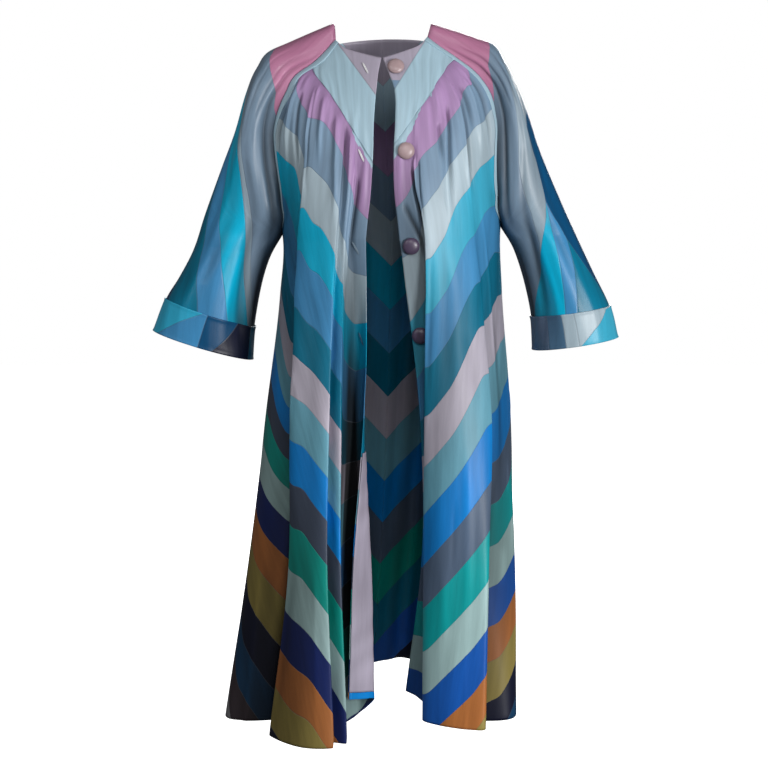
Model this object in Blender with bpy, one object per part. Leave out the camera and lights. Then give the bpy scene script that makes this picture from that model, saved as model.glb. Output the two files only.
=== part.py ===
"""A long patchwork silk duster coat, filled out as if worn, with nobody in it.

Metres, +Z up. The origin is the middle of the neck base, between the wearer's shoulders.
The fronts face -Y, so the wearer's right side lies towards -X.
Heights are given as drops below the origin, and a name ending in "right" or "left" is the wearer's.
"""

import math

import bmesh
import bpy
import numpy as np
from mathutils import Vector

# Cloth and seams
CLOTH = 0.0014
THIN_CLOTH = 0.0010
SEAM_GAP = 0.0005
LAY_GAP = 0.0003
RAGLAN_BAND = 0.013
HEM_TURN_UP = 0.012
BAND_INSET = 0.0025

# Where the raglan band's width is measured: a share of the way across a front, and a drop
BAND_SHARE = 0.90
BAND_DROP = 0.16

# The coat's heights, as drops below the neck base
NECK_POINT = 0.0105
NECK_BACK = 0.002
YOKE_AT_RAGLAN = 0.049
ARMPIT = 0.351
FACING_TOP = 0.72

# The coat hangs a little lower on its right side: metres of height for each metre across
TILT = 0.035

# Rows of the panels: down the yoke, on down the raglan seam, and on to the hem
YOKE_ROWS = 3
RAGLAN_ROWS = 8
SKIRT_ROWS = 9
COLUMN_WIDTH = 0.034
NARROWEST_COLUMN = 0.012
BACK_COLUMNS = 20
SLEEVE_COLUMNS = 20
SLEEVE_ROWS = 7
CUFF_ROWS = 3
FACING_COLUMNS = 6

# The form under the cloth: a level ellipse at each drop, with its front and back depths
FORM_COLUMNS = ("drop", "centre", "half_width", "front", "back")
FORM = (
    (-0.03, 0.0000, 0.0750, 0.052, 0.066),
    (0.01, 0.0000, 0.1050, 0.066, 0.078),
    (0.05, 0.0010, 0.1630, 0.080, 0.092),
    (0.07, 0.0015, 0.1900, 0.091, 0.100),
    (0.10, 0.0030, 0.2100, 0.107, 0.111),
    (0.16, 0.0060, 0.2220, 0.127, 0.124),
    (0.24, 0.0110, 0.2150, 0.139, 0.130),
    (0.30, 0.0150, 0.2050, 0.144, 0.131),
    (0.36, 0.0180, 0.1970, 0.146, 0.131),
    (0.46, 0.0165, 0.2020, 0.148, 0.138),
    (0.70, 0.0105, 0.2265, 0.165, 0.165),
    (0.90, 0.0020, 0.2380, 0.185, 0.190),
    (1.23, -0.0180, 0.2540, 0.212, 0.226),
)

# Where the front edge, the raglan seam and the plain side line lie on the form, in degrees from its front
ANGLE_COLUMNS = ("drop", "edge_right", "edge_left", "raglan_right", "raglan_left", "side")
ANGLES = (
    (0.010, -1.0, -1.0, 52.0, 50.0, 51.0),
    (0.050, 0.8, 0.6, 48.5, 54.0, 51.5),
    (0.070, 2.0, 2.6, 53.5, 56.0, 55.0),
    (0.100, 3.2, 4.8, 55.0, 60.0, 58.0),
    (0.160, 5.0, 4.4, 62.0, 62.5, 62.5),
    (0.210, 6.2, 3.0, 64.5, 62.5, 66.0),
    (0.290, 9.4, 2.0, 69.5, 68.5, 74.0),
    (0.335, 12.0, 2.8, 78.0, 78.0, 80.0),
    (0.351, 12.8, 3.1, 90.0, 90.0, 82.0),
    (0.450, 14.0, 3.5, 90.0, 90.0, 90.0),
    (1.230, 14.0, 3.5, 90.0, 90.0, 90.0),
)

# The neck edge and the lower seam of the yoke, against the share of the way from front edge to raglan
NECK_EDGE = ((0.0, 0.047), (0.3, 0.037), (0.6, 0.027), (0.85, 0.016), (1.0, 0.0105))
YOKE_SEAM_COLUMNS = ("share", "right", "left")
YOKE_SEAM = (
    (0.00, 0.230, 0.200),
    (0.16, 0.173, 0.150),
    (0.38, 0.113, 0.101),
    (0.60, 0.080, 0.073),
    (1.00, 0.049, 0.049),
)

# The folds of each front, from its edge to the side seam: where each ridge and hollow stands
# at the bust, the waist, the knee and the hem, and how far its hem drops
LEVELS = (0.36, 0.70, 0.90, 1.21)
FOLD_COLUMNS = ("fold", "bust_x", "bust_y", "waist_x", "waist_y", "knee_x", "knee_y", "hem_x", "hem_y", "hem")
FOLDS_RIGHT = (
    ("edge", -0.0270, -0.1460, -0.0325, -0.1120, -0.0500, -0.1370, -0.0620, -0.1520, 1.176),
    ("lapel", -0.0340, -0.1460, -0.0310, -0.1000, -0.0360, -0.1230, -0.0380, -0.1320, 1.182),
    ("lapel fold", -0.0420, -0.1450, -0.0340, -0.0880, -0.0235, -0.1070, -0.0166, -0.1120, 1.188),
    ("trough floor", -0.0500, -0.1430, -0.0460, -0.0820, -0.0430, -0.0860, -0.0400, -0.0860, 1.222),
    ("trough wall", -0.0560, -0.1420, -0.0620, -0.1080, -0.0680, -0.1220, -0.0720, -0.1280, 1.231),
    ("ridge 3 under", -0.0600, -0.1440, -0.0710, -0.1500, -0.0775, -0.1800, -0.0780, -0.2000, 1.222),
    ("ridge 3", -0.0645, -0.1500, -0.0715, -0.1940, -0.0715, -0.2330, -0.0600, -0.2620, 1.220),
    ("ridge 2 under", -0.0760, -0.1450, -0.0960, -0.1780, -0.1010, -0.2160, -0.0920, -0.2520, 1.220),
    ("ridge 2", -0.0800, -0.1520, -0.0905, -0.2020, -0.0925, -0.2430, -0.0815, -0.2800, 1.221),
    ("face", -0.1130, -0.1380, -0.1250, -0.1900, -0.1270, -0.2280, -0.1350, -0.2720, 1.221),
    ("ridge 1", -0.1467, -0.1180, -0.1600, -0.1700, -0.1610, -0.1950, -0.1950, -0.2115, 1.218),
    ("ridge 1 under", -0.1380, -0.1000, -0.1250, -0.1120, -0.1180, -0.1080, -0.1500, -0.1120, 1.214),
    ("side hollow", -0.1520, -0.0940, -0.1620, -0.1030, -0.1650, -0.1220, -0.2000, -0.1400, 1.213),
    ("side ridge", -0.1680, -0.0600, -0.1940, -0.0700, -0.2140, -0.0980, -0.2500, -0.1360, 1.213),
    ("side face", -0.1770, -0.0260, -0.2110, -0.0330, -0.2370, -0.0520, -0.2830, -0.1080, 1.211),
)
SIDE_HEM_RIGHT = 1.206
FOLDS_LEFT = (
    ("edge", 0.0300, -0.1440, 0.0690, -0.1180, 0.0730, -0.1075, 0.0405, -0.0780, 1.186),
    ("button strip", 0.0500, -0.1420, 0.0860, -0.1210, 0.0872, -0.1120, 0.0590, -0.0890, 1.192),
    ("strip hollow", 0.0670, -0.1400, 0.0990, -0.1300, 0.0985, -0.1240, 0.0760, -0.1080, 1.200),
    ("ridge 1 under", 0.0715, -0.1440, 0.0900, -0.1520, 0.0912, -0.1520, 0.0850, -0.1420, 1.208),
    ("ridge 1", 0.0745, -0.1500, 0.0735, -0.1660, 0.0725, -0.1690, 0.0715, -0.1720, 1.212),
    ("face", 0.0950, -0.1440, 0.0980, -0.1790, 0.1000, -0.1890, 0.1000, -0.1990, 1.214),
    ("side face", 0.1250, -0.1310, 0.1430, -0.1770, 0.1450, -0.1930, 0.1450, -0.2170, 1.217),
    ("ridge 2", 0.1600, -0.1080, 0.1930, -0.1500, 0.1880, -0.1820, 0.1818, -0.2150, 1.218),
    ("ridge 2 under", 0.1680, -0.0960, 0.1830, -0.1310, 0.1660, -0.1530, 0.1570, -0.1730, 1.216),
    ("side hollow", 0.1780, -0.0840, 0.1980, -0.1200, 0.1870, -0.1440, 0.1840, -0.1770, 1.216),
    ("side ridge", 0.2000, -0.0520, 0.2240, -0.0740, 0.2340, -0.0960, 0.2380, -0.1560, 1.216),
    ("side fall", 0.2110, -0.0240, 0.2340, -0.0350, 0.2390, -0.0460, 0.2400, -0.0700, 1.217),
)
SIDE_HEM_LEFT = 1.218

# Flutes of the half-backs: how far each stands out at the hem, against the share from centre to side
BACK_FLUTE_COLUMNS = ("share", "right", "left")
BACK_FLUTES = (
    (0.00, -0.012, -0.012),
    (0.14, 0.016, 0.020),
    (0.30, -0.018, -0.016),
    (0.46, 0.024, 0.018),
    (0.62, -0.016, -0.020),
    (0.78, 0.020, 0.016),
    (0.90, -0.008, -0.008),
    (1.00, 0.000, 0.000),
)
BACK_HEM = 1.214
BACK_HEM_LEVEL_TO = 0.6
FLUTE_START = 0.10
FLUTE_GROWTH = 0.8

# How closely the cloth beside the raglan seam follows its turn: a higher power, a narrower strip
SEAM_FOLLOW = 8

# Gathers under the yoke: number across a front, height, how far they start and run down,
# how far they stray from even steps, how narrow they are, and the plain strip at each side
GATHERS = 8
GATHER_HEIGHT = 0.0035
GATHER_START = 0.03
GATHER_RUN = 0.10
GATHER_STRAY = 0.22
GATHER_SHARPNESS = 2.2
GATHER_MARGIN = 0.07

# The sleeves' outer line against the drop of the raglan seam beside it
OUTER_COLUMNS = ("drop", "right_x", "right_z", "left_x", "left_z", "y")
OUTER_LINE = (
    (0.0105, -0.0850, 0.0194, 0.0881, 0.0181, 0.005),
    (0.0300, -0.1280, 0.0020, 0.1340, 0.0050, 0.004),
    (0.0490, -0.1660, -0.0145, 0.1720, -0.0080, 0.002),
    (0.0700, -0.2020, -0.0310, 0.1999, -0.0180, 0.000),
    (0.1000, -0.2235, -0.0600, 0.2185, -0.0471, -0.002),
    (0.1500, -0.2425, -0.1050, 0.2400, -0.0896, -0.005),
    (0.2100, -0.2620, -0.1700, 0.2600, -0.1370, -0.008),
    (0.2800, -0.2860, -0.2320, 0.2860, -0.2120, -0.010),
    (0.3510, -0.3185, -0.3180, 0.3275, -0.3080, -0.010),
)

# The sleeves below the armpit, against the share of the way to the cuff's end
SLEEVE_COLUMN_NAMES = ("share", "right_out_x", "right_out_z", "right_in_x", "right_in_z",
                       "left_out_x", "left_out_z", "left_in_x", "left_in_z", "half_depth")
SLEEVE = (
    (0.00, -0.3185, -0.3180, -0.1783, -0.3570, 0.3275, -0.3080, 0.2152, -0.3440, 0.066),
    (0.30, -0.3410, -0.3850, -0.2030, -0.4020, 0.3520, -0.3600, 0.2405, -0.3870, 0.069),
    (0.55, -0.3675, -0.4344, -0.2190, -0.4560, 0.3825, -0.4235, 0.2595, -0.4450, 0.072),
    (0.77, -0.3910, -0.4720, -0.2310, -0.5240, 0.4130, -0.4850, 0.2725, -0.5060, 0.075),
    (1.00, -0.4140, -0.5300, -0.2360, -0.5840, 0.4280, -0.5420, 0.2770, -0.5670, 0.078),
)
CUFF_TOP = 0.77
CUFF_CLOTH = 0.0020

# The sleeves above the armpit: half the depth at the neck and over the arm, the drop at which it
# is full, and the drop from which the flat shoulder starts to close into a tube
TOP_HALF_DEPTH = 0.040
UPPER_HALF_DEPTH = 0.070
FULL_DEPTH_AT = 0.15
TUBE_FROM = 0.12

# Folds along the sleeves: where round the section each starts and ends, its width there, its
# height, and where along the sleeve it runs, with 0 at the neck, 0.5 at the armpit and 1 at the cuff
FOLD_FULLNESS = 0.7
SLEEVE_FOLDS = (
    (0.14, 0.22, 0.045, 0.0040, 0.04, 0.45),
    (0.26, 0.33, 0.045, 0.0045, 0.06, 0.62),
    (0.38, 0.40, 0.040, -0.0040, 0.15, 0.90),
    (0.16, 0.12, 0.050, -0.0060, 0.50, 0.98),
    (0.27, 0.24, 0.050, 0.0050, 0.55, 1.02),
    (0.62, 0.66, 0.050, 0.0040, 0.10, 0.80),
    (0.76, 0.72, 0.050, -0.0045, 0.20, 0.95),
    (0.87, 0.84, 0.040, 0.0040, 0.45, 1.00),
)

# Buttons on the left front: the distance in from its edge and the drop of each, from the neck down
BUTTON_RADIUS = 0.0148
BUTTON_RISE = 0.0055
BUTTON_RIM = 0.0022
SHANK_RADIUS = 0.0030
SHANK_LENGTH = 0.0022
BUTTON_SIDES = 18
DOME_STEPS = 4
BUTTONS = ((0.0160, 0.066), (0.0210, 0.2125), (0.0180, 0.376), (0.0150, 0.533))
BUTTON_LOOKS = ("covered_rose", "covered_rose", "covered_plum", "covered_plum")

# Buttonholes in the right front: distance in from the edge, drop, and slant from level in degrees
HOLE_LENGTH = 0.022
HOLE_WIDTH = 0.0018
HOLE_DEPTH = 0.016
HOLES = ((0.0253, 0.066, 50.0), (0.0200, 0.218, 62.0), (0.0180, 0.376, 62.0), (0.0150, 0.537, 66.0))

# How a place on a front is found: the share of the front that is measured, its points, and a short step
PROBE_SHARE = 0.3
PROBE_POINTS = 121
PROBE_STEP = 0.01

SIDES = {
    "right": {"turn": -1.0, "folds": FOLDS_RIGHT, "side_hem": SIDE_HEM_RIGHT},
    "left": {"turn": 1.0, "folds": FOLDS_LEFT, "side_hem": SIDE_HEM_LEFT},
}

# Colours and finish of the silk taffeta
MATERIALS = {
    "silk_steel": ((0.30, 0.40, 0.46), 0.38),
    "silk_pale_blue": ((0.36, 0.50, 0.56), 0.38),
    "silk_blue": ((0.03, 0.22, 0.42), 0.36),
    "silk_teal": ((0.02, 0.18, 0.20), 0.36),
    "silk_lilac": ((0.42, 0.37, 0.43), 0.42),
    "covered_rose": ((0.50, 0.32, 0.33), 0.40),
    "covered_plum": ((0.10, 0.08, 0.12), 0.35),
}


def blend(knots, at):
    """Weights that carry values at the knots, on a smooth curve, to the places asked for."""
    knots = np.asarray(knots, float)
    at = np.clip(np.asarray(at, float), knots[0], knots[-1])
    unit = np.eye(len(knots))
    slopes = np.gradient(unit, knots, axis=0)
    cell = np.clip(np.searchsorted(knots, at, side="right") - 1, 0, len(knots) - 2)
    span = (knots[cell + 1] - knots[cell])[..., None]
    t = (at - knots[cell])[..., None] / span
    ease = t * t * (3 - 2 * t)
    leave = t * (1 - t) ** 2 * span
    arrive = t * t * (t - 1) * span
    return (1 - ease) * unit[cell] + ease * unit[cell + 1] + leave * slopes[cell] + arrive * slopes[cell + 1]


def column(table, names, name):
    """One named column of a table."""
    place = names.index(name)
    return np.array([row[place] for row in table], float)


def read(table, names, name, at):
    """A column's value on a smooth curve through the rows, read against the first column."""
    return blend(column(table, names, names[0]), at) @ column(table, names, name)


def ease_in(value, start, end):
    """Zero before the start and one after the end, with a soft step between."""
    t = np.clip((np.asarray(value, float) - start) / (end - start), 0, 1)
    return t * t * (3 - 2 * t)


def form_point(angle, drop):
    """A place on the form, at an angle in radians from its front, towards +X."""
    centre = read(FORM, FORM_COLUMNS, "centre", drop)
    half = read(FORM, FORM_COLUMNS, "half_width", drop)
    front = read(FORM, FORM_COLUMNS, "front", drop)
    back = read(FORM, FORM_COLUMNS, "back", drop)
    depth = np.where(np.cos(angle) > 0, front, back)
    return np.stack([centre + half * np.sin(angle), -depth * np.cos(angle)], axis=-1)


def side_angle(side, share, drop):
    """The angle from the form's front, or from its back, that a share of the way to the side has.

    The raglan seam turns fast near the armpit, so only the cloth beside it follows it there.
    """
    plain = np.minimum(read(ANGLES, ANGLE_COLUMNS, "side", drop), 90.0)
    seam = np.minimum(read(ANGLES, ANGLE_COLUMNS, "raglan_" + side, drop), 90.0)
    return plain * share + (seam - plain) * np.clip(share, 0, 1) ** SEAM_FOLLOW


def front_angle(side, share, drop):
    """The form's angle at a share of the way from a front edge to the raglan or side seam."""
    edge = read(ANGLES, ANGLE_COLUMNS, "edge_" + side, drop)
    angle = edge * (1 - share) + side_angle(side, share, drop)
    if side == "left":
        return np.radians(angle)
    return -np.radians(angle)


def lift(plan, drop):
    """Plan positions with their heights, and with the coat's tilt."""
    height = -np.asarray(drop, float) + TILT * plan[..., 0]
    return np.concatenate([plan, height[..., None]], axis=-1)


class FrontPanel:
    """The cloth of one front, from the neck to the hem, as places across and down it."""

    def __init__(self, side):
        self.side = side
        self.folds = SIDES[side]["folds"]
        stands = []
        for level, drop in enumerate(LEVELS):
            places = [row[1 + 2 * level:3 + 2 * level] for row in self.folds]
            stands.append(places + [tuple(form_point(front_angle(side, 1.0, drop), drop))])
        self.stands = np.array(stands)
        knee = np.linalg.norm(np.diff(self.stands[2], axis=0), axis=1)
        bust = np.linalg.norm(np.diff(self.stands[0], axis=0), axis=1)
        self.knots = np.concatenate([[0], np.cumsum(knee)]) / knee.sum()
        self.shares = np.concatenate([[0], np.cumsum(bust)]) / bust.sum()
        self.hems = np.append(column(self.folds, FOLD_COLUMNS, "hem"), SIDES[side]["side_hem"])
        moved = []
        for level, drop in enumerate(LEVELS):
            moved.append(self.stands[level] - form_point(front_angle(side, self.shares, drop), drop))
        self.moved = np.array(moved)
        self.columns = self.place_columns(knee)

    def place_columns(self, lengths):
        """Places across the panel: each ridge and hollow, with even steps between them."""
        places = [0.0]
        for start, end, length in zip(self.knots[:-1], self.knots[1:], lengths):
            steps = max(2, round(length / COLUMN_WIDTH))
            places.extend(start + (end - start) * (step + 1) / steps for step in range(steps))
        return np.array(places)

    def share(self, across):
        """The share of the yoke seam that a column hangs from."""
        return np.clip(np.interp(across, self.knots, self.shares), 0, 1)

    def gathers(self, share, below):
        """Height of the gathers at a distance below the yoke seam."""
        wave = np.zeros(np.broadcast(share, below).shape)
        for number in range(GATHERS):
            place = (number + 0.5 + GATHER_STRAY * math.sin(2.4 * number)) / GATHERS
            height = 0.75 + 0.25 * math.cos(1.7 * number)
            wave = wave + height * np.exp(-((share - place) * GATHERS * GATHER_SHARPNESS) ** 2)
        fade = ease_in(below, 0.0, GATHER_START) * np.exp(-np.maximum(below, 0) / GATHER_RUN)
        edges = ease_in(share, 0.0, GATHER_MARGIN) * ease_in(1 - share, 0.0, GATHER_MARGIN)
        return GATHER_HEIGHT * wave * fade * edges

    def points(self, across, drop):
        """Places on the cloth at shares across the panel and drops below the neck base."""
        share = self.share(across)
        angle = front_angle(self.side, share, drop)
        plan = form_point(angle, drop)
        levels = blend(LEVELS, drop)
        stands = np.einsum("...l,lkc->...kc", levels, self.moved)
        at_top = self.moved[0] * ease_in(drop, yoke_seam(self.side, 0.5), LEVELS[0])[..., None, None]
        stands = np.where((drop < LEVELS[0])[..., None, None], at_top, stands)
        plan = plan + np.einsum("...k,...kc->...c", blend(self.knots, across), stands)
        out = np.stack([np.sin(angle), -np.cos(angle)], axis=-1)
        below = drop - yoke_seam(self.side, share)
        return lift(plan + out * self.gathers(share, below)[..., None], drop)

    def hem(self, across):
        """Drop of the hem at a place across."""
        return blend(self.knots, across) @ self.hems


def yoke_seam(side, share):
    """Drop of the yoke's lower seam."""
    return read(YOKE_SEAM, YOKE_SEAM_COLUMNS, side, share)


def neck_edge(share):
    """Drop of the front neck edge."""
    return blend([row[0] for row in NECK_EDGE], share) @ np.array([row[1] for row in NECK_EDGE])


def seam_drops(side):
    """Drops of the panels' rows on the raglan and side seams, which all pieces there share."""
    yoke = np.linspace(NECK_POINT, YOKE_AT_RAGLAN, YOKE_ROWS + 1)
    raglan = np.linspace(YOKE_AT_RAGLAN, ARMPIT, RAGLAN_ROWS + 1)
    hem = SIDES[side]["side_hem"]
    skirt = np.append(np.linspace(ARMPIT, hem - HEM_TURN_UP, SKIRT_ROWS), hem)
    return np.concatenate([yoke, raglan[1:], skirt[1:]])


def back_points(side, across, drop):
    """Places on a half-back: across runs from the centre seam to the raglan or side seam."""
    turn = SIDES[side]["turn"]
    angle = math.pi - np.radians(side_angle(side, across, drop))
    plan = form_point(turn * angle, drop)
    out = np.stack([turn * np.sin(angle), -np.cos(angle)], axis=-1)
    flute = read(BACK_FLUTES, BACK_FLUTE_COLUMNS, side, across)
    flute = flute * ease_in(drop, FLUTE_START, BACK_HEM) ** FLUTE_GROWTH
    return lift(plan + out * flute[..., None], drop)


def outward(grid, flip):
    """Unit normals of a grid's rows and columns, turned round where flip says so."""
    normal = np.cross(np.gradient(grid, axis=0), np.gradient(grid, axis=1))
    normal /= np.linalg.norm(normal, axis=-1, keepdims=True)
    return -normal if flip else normal


def pull_back(grid, sides):
    """Draw the named edges of a grid in by half a seam gap."""
    grid = grid.copy()
    pairs = {"first": ((slice(None), 0), (slice(None), 1)), "last": ((slice(None), -1), (slice(None), -2)),
             "top": ((0, slice(None)), (1, slice(None))), "bottom": ((-1, slice(None)), (-2, slice(None)))}
    for name in sides:
        edge, inner = pairs[name]
        step = grid[inner] - grid[edge]
        grid[edge] += SEAM_GAP / 2 * step / np.linalg.norm(step, axis=-1, keepdims=True)
    return grid


def clear_scene():
    for item in list(bpy.data.objects):
        bpy.data.objects.remove(item, do_unlink=True)


def make_material(name):
    colour, roughness = MATERIALS[name]
    material = bpy.data.materials.new(name)
    material.use_nodes = True
    shader = material.node_tree.nodes["Principled BSDF"]
    shader.inputs["Base Color"].default_value = (*colour, 1.0)
    shader.inputs["Roughness"].default_value = roughness
    shader.inputs["Metallic"].default_value = 0.0
    return material


def add_object(name, mesh, material):
    mesh.materials.append(material)
    item = bpy.data.objects.new(name, mesh)
    bpy.context.scene.collection.objects.link(item)
    return item


def sew(name, outer, out, material, flip, thickness=CLOTH, joined_from=None):
    """A wall of cloth between an outer face and its points moved in, against the directions out.

    From row joined_from down, the grid's last column is its first one, so the piece is a tube there.
    """
    rows, columns = outer.shape[:2]
    tube_from = rows if joined_from is None else joined_from
    made = bmesh.new()
    faces = []
    for grid in (outer, outer - out * thickness):
        corners = []
        for row in range(rows):
            line = [made.verts.new(place) for place in grid[row, :columns - (row >= tube_from)]]
            if row >= tube_from:
                line.append(line[0])
            corners.append(line)
        faces.append(corners)
    front, back = faces
    edge = [(0, place) for place in range(columns - 1)]
    edge += [(row, columns - 1) for row in range(min(tube_from, rows - 1))]
    if tube_from >= rows:
        edge += [(rows - 1, place) for place in range(columns - 1, 0, -1)]
        edge += [(row, 0) for row in range(rows - 1, -1, -1)]
        rims = [edge]
    else:
        edge += [(row, 0) for row in range(tube_from, -1, -1)]
        rims = [edge, [(rows - 1, place) for place in range(columns - 1, -1, -1)]]
    for row in range(rows - 1):
        for place in range(columns - 1):
            halves = (((row, place), (row + 1, place), (row + 1, place + 1)),
                      ((row, place), (row + 1, place + 1), (row, place + 1)))
            for corners, turned in ((front, flip), (back, not flip)):
                for half in halves:
                    face = [corners[r][c] for r, c in half]
                    made.faces.new(reversed(face) if turned else face).smooth = True
    for rim in rims:
        for (row, place), (next_row, next_place) in zip(rim[:-1], rim[1:]):
            face = [front[row][place], front[next_row][next_place],
                    back[next_row][next_place], back[row][place]]
            made.faces.new(reversed(face) if flip else face)
    mesh = bpy.data.meshes.new(name)
    made.to_mesh(mesh)
    made.free()
    return add_object(name, mesh, material)


def front_grids(side):
    """The outer faces of a front's yoke and of its gathered lower part."""
    panel = FrontPanel(side)
    on_seam = seam_drops(side)
    rows = (on_seam[YOKE_ROWS:] - on_seam[YOKE_ROWS]) / (on_seam[-1] - on_seam[YOKE_ROWS])
    across = with_band_column(panel)
    top = yoke_seam(side, panel.share(across))
    bottom = panel.hem(across)
    bottom[-1] = on_seam[-1]
    drop = top + (bottom - top) * rows[:, None]
    lower = panel.points(np.broadcast_to(across, drop.shape), drop)
    neck = neck_edge(panel.share(across))
    yoke_drop = neck + (top - neck) * np.linspace(0, 1, YOKE_ROWS + 1)[:, None]
    yoke = panel.points(np.broadcast_to(across, yoke_drop.shape), yoke_drop)
    return yoke, lower


def with_band_column(panel):
    """The panel's columns, with one where the raglan band ends."""
    seam = panel.points(np.array([BAND_SHARE, 1.0]), np.full(2, BAND_DROP))
    width = np.linalg.norm(seam[1] - seam[0])
    inner = 1 - (1 - BAND_SHARE) * RAGLAN_BAND / width
    kept = panel.columns[panel.columns < inner - NARROWEST_COLUMN]
    return np.concatenate([kept, [inner, 1.0]])


def seam_point(side, drop, behind):
    """A place on a raglan seam, on the front or behind."""
    angle = front_angle(side, 1.0, drop)
    if behind:
        angle = SIDES[side]["turn"] * math.pi - angle
    return lift(form_point(angle, drop), drop)


def sleeve_fold(around, along):
    """Height of the sleeve's folds at a place round its section and along it."""
    total = np.zeros(np.broadcast(around, along).shape)
    for first, last, width, height, start, end in SLEEVE_FOLDS:
        run = np.clip((along - start) / (end - start), 0, 1)
        line = first + (last - first) * run
        fullness = np.sin(math.pi * run) ** FOLD_FULLNESS
        total = total + height * fullness * np.exp(-((around - line) / width) ** 2)
    return total


def sleeve_points(side, drop, share, around):
    """Places on a sleeve: drop of its raglan seam, share of the way from armpit to cuff end, and
    around its section from the front seam over the arm to the back seam."""
    turn = SIDES[side]["turn"]
    shape = np.broadcast(drop, share, around).shape
    under = (np.asarray(share) > 0)[..., None]

    def arm(name):
        return read(SLEEVE, SLEEVE_COLUMN_NAMES, name, share)

    def outer(name):
        return read(OUTER_LINE, OUTER_COLUMNS, name, drop)

    apex = np.stack(np.broadcast_arrays(outer(side + "_x"), outer("y"), outer(side + "_z")), axis=-1)
    low_apex = np.stack(np.broadcast_arrays(arm(side + "_out_x"), outer("y"), arm(side + "_out_z")), axis=-1)
    apex = np.where(under, low_apex, apex)
    inner = np.stack(np.broadcast_arrays(arm(side + "_in_x"), 0 * share, arm(side + "_in_z")), axis=-1)
    first = SLEEVE[0]
    start = np.array([first[SLEEVE_COLUMN_NAMES.index(side + "_in_x")], 0.0,
                      first[SLEEVE_COLUMN_NAMES.index(side + "_in_z")]])
    sinking = inner - start

    wide = ease_in(drop, NECK_POINT, FULL_DEPTH_AT)
    upper = TOP_HALF_DEPTH + (UPPER_HALF_DEPTH - TOP_HALF_DEPTH) * wide
    half = np.where(share > 0, arm("half_depth"), upper)
    tube = ease_in(drop, TUBE_FROM, ARMPIT) ** 2
    ahead = np.array([0.0, -1.0, 0.0])
    t = 1 - np.abs(1 - 2 * np.asarray(around, float))
    t = t[..., None]
    halves = []
    for behind in (False, True):
        seam = seam_point(side, drop, behind) + sinking
        facing = -1.0 if behind else 1.0
        to_apex = (apex - seam) * np.array([1.0, 0.0, 1.0])
        # A cubic curve from seam to apex is deepest half-way, where its handles count for 3/8 each
        reach = (8 * half + 4 * facing * (seam[..., 1] + apex[..., 1])) / 3
        low_reach = (reach * tube / 2)[..., None] * facing * ahead
        top_reach = (reach * (1 - tube / 2))[..., None] * facing * ahead
        low = seam + 0.5 * to_apex * (1 - tube)[..., None] + low_reach
        top = apex + top_reach
        near_seam = (1 - t) ** 3 * seam + 3 * (1 - t) ** 2 * t * low
        near_apex = 3 * (1 - t) * t * t * top + t ** 3 * apex
        halves.append(near_seam + near_apex)
    front, back = halves
    places = np.where((np.asarray(around) < 0.5)[..., None], front, back)
    places = np.broadcast_to(places, shape + (3,)).copy()
    along = 0.5 * (drop - NECK_POINT) / (ARMPIT - NECK_POINT) + 0.5 * share
    middle = (seam_point(side, drop, False) + seam_point(side, drop, True)) / 2 + sinking
    out = places - (middle + apex) / 2
    out /= np.linalg.norm(out, axis=-1, keepdims=True)
    return places + out * sleeve_fold(around, along)[..., None]


def sleeve_grid(side):
    """Rows down the raglan seam and on to the cuff's end, and the row at which the cuff starts."""
    seam = seam_drops(side)[:YOKE_ROWS + RAGLAN_ROWS + 1]
    tube = np.linspace(0, CUFF_TOP, SLEEVE_ROWS + 1)[1:]
    cuff = np.linspace(CUFF_TOP, 1, CUFF_ROWS + 1)[1:]
    share = np.concatenate([np.zeros(len(seam)), tube, cuff])
    drop = np.concatenate([seam, np.full(len(tube) + len(cuff), ARMPIT)])
    around = np.linspace(0, 1, SLEEVE_COLUMNS + 1)
    grid = sleeve_points(side, drop[:, None], share[:, None], around[None, :])
    return grid, len(seam), len(seam) + len(tube) - 1


def round_outward(grid, flip, joined_from):
    """Unit normals of a grid whose first and last columns meet from row joined_from down."""
    out = outward(grid, flip)
    wrapped = np.concatenate([grid[:, -2:-1], grid, grid[:, 1:2]], axis=1)
    met = outward(wrapped, flip)
    out[joined_from:, 0] = met[joined_from:, 1]
    out[joined_from:, -1] = met[joined_from:, 1]
    return out


def build_sleeve(side, looks):
    """A sleeve, and its turned-up cuff from the sleeve's own points, moved out."""
    grid, joined_from, cuff_from = sleeve_grid(side)
    flip = side == "right"
    armpit = joined_from - 1
    grid[joined_from:, -1] = grid[joined_from:, 0]
    out = round_outward(grid, flip, joined_from)
    sleeve = grid.copy()
    sleeve[:joined_from] = pull_back(grid, ("first", "last"))[:joined_from]
    away = grid[joined_from, 0] - grid[armpit, 0]
    sleeve[armpit, (0, -1)] += SEAM_GAP * away / np.linalg.norm(away)
    sew("sleeve_" + side, sleeve, out, looks["silk_steel"], flip, joined_from=joined_from)
    cuff = grid[cuff_from:]
    cuff_out = out[cuff_from:]
    sew("cuff_" + side, cuff + cuff_out * (LAY_GAP + CUFF_CLOTH), cuff_out, looks["silk_blue"], flip,
        thickness=CUFF_CLOTH, joined_from=0)


def build_band(side, yoke, yoke_out, lower, lower_out, looks):
    """The narrow band over the raglan seam allowance, down the panel's last two columns."""
    grid = np.concatenate([yoke[:-1, -2:], lower[:RAGLAN_ROWS, -2:]])
    out = np.concatenate([yoke_out[:-1, -2:], lower_out[:RAGLAN_ROWS, -2:]])
    step = grid[:, 0] - grid[:, 1]
    grid[:, 1] += BAND_INSET * step / np.linalg.norm(step, axis=-1, keepdims=True)
    sew("raglan_band_" + side, grid + out * (LAY_GAP + THIN_CLOTH), out, looks["silk_pale_blue"],
        side == "right", thickness=THIN_CLOTH)


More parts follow.
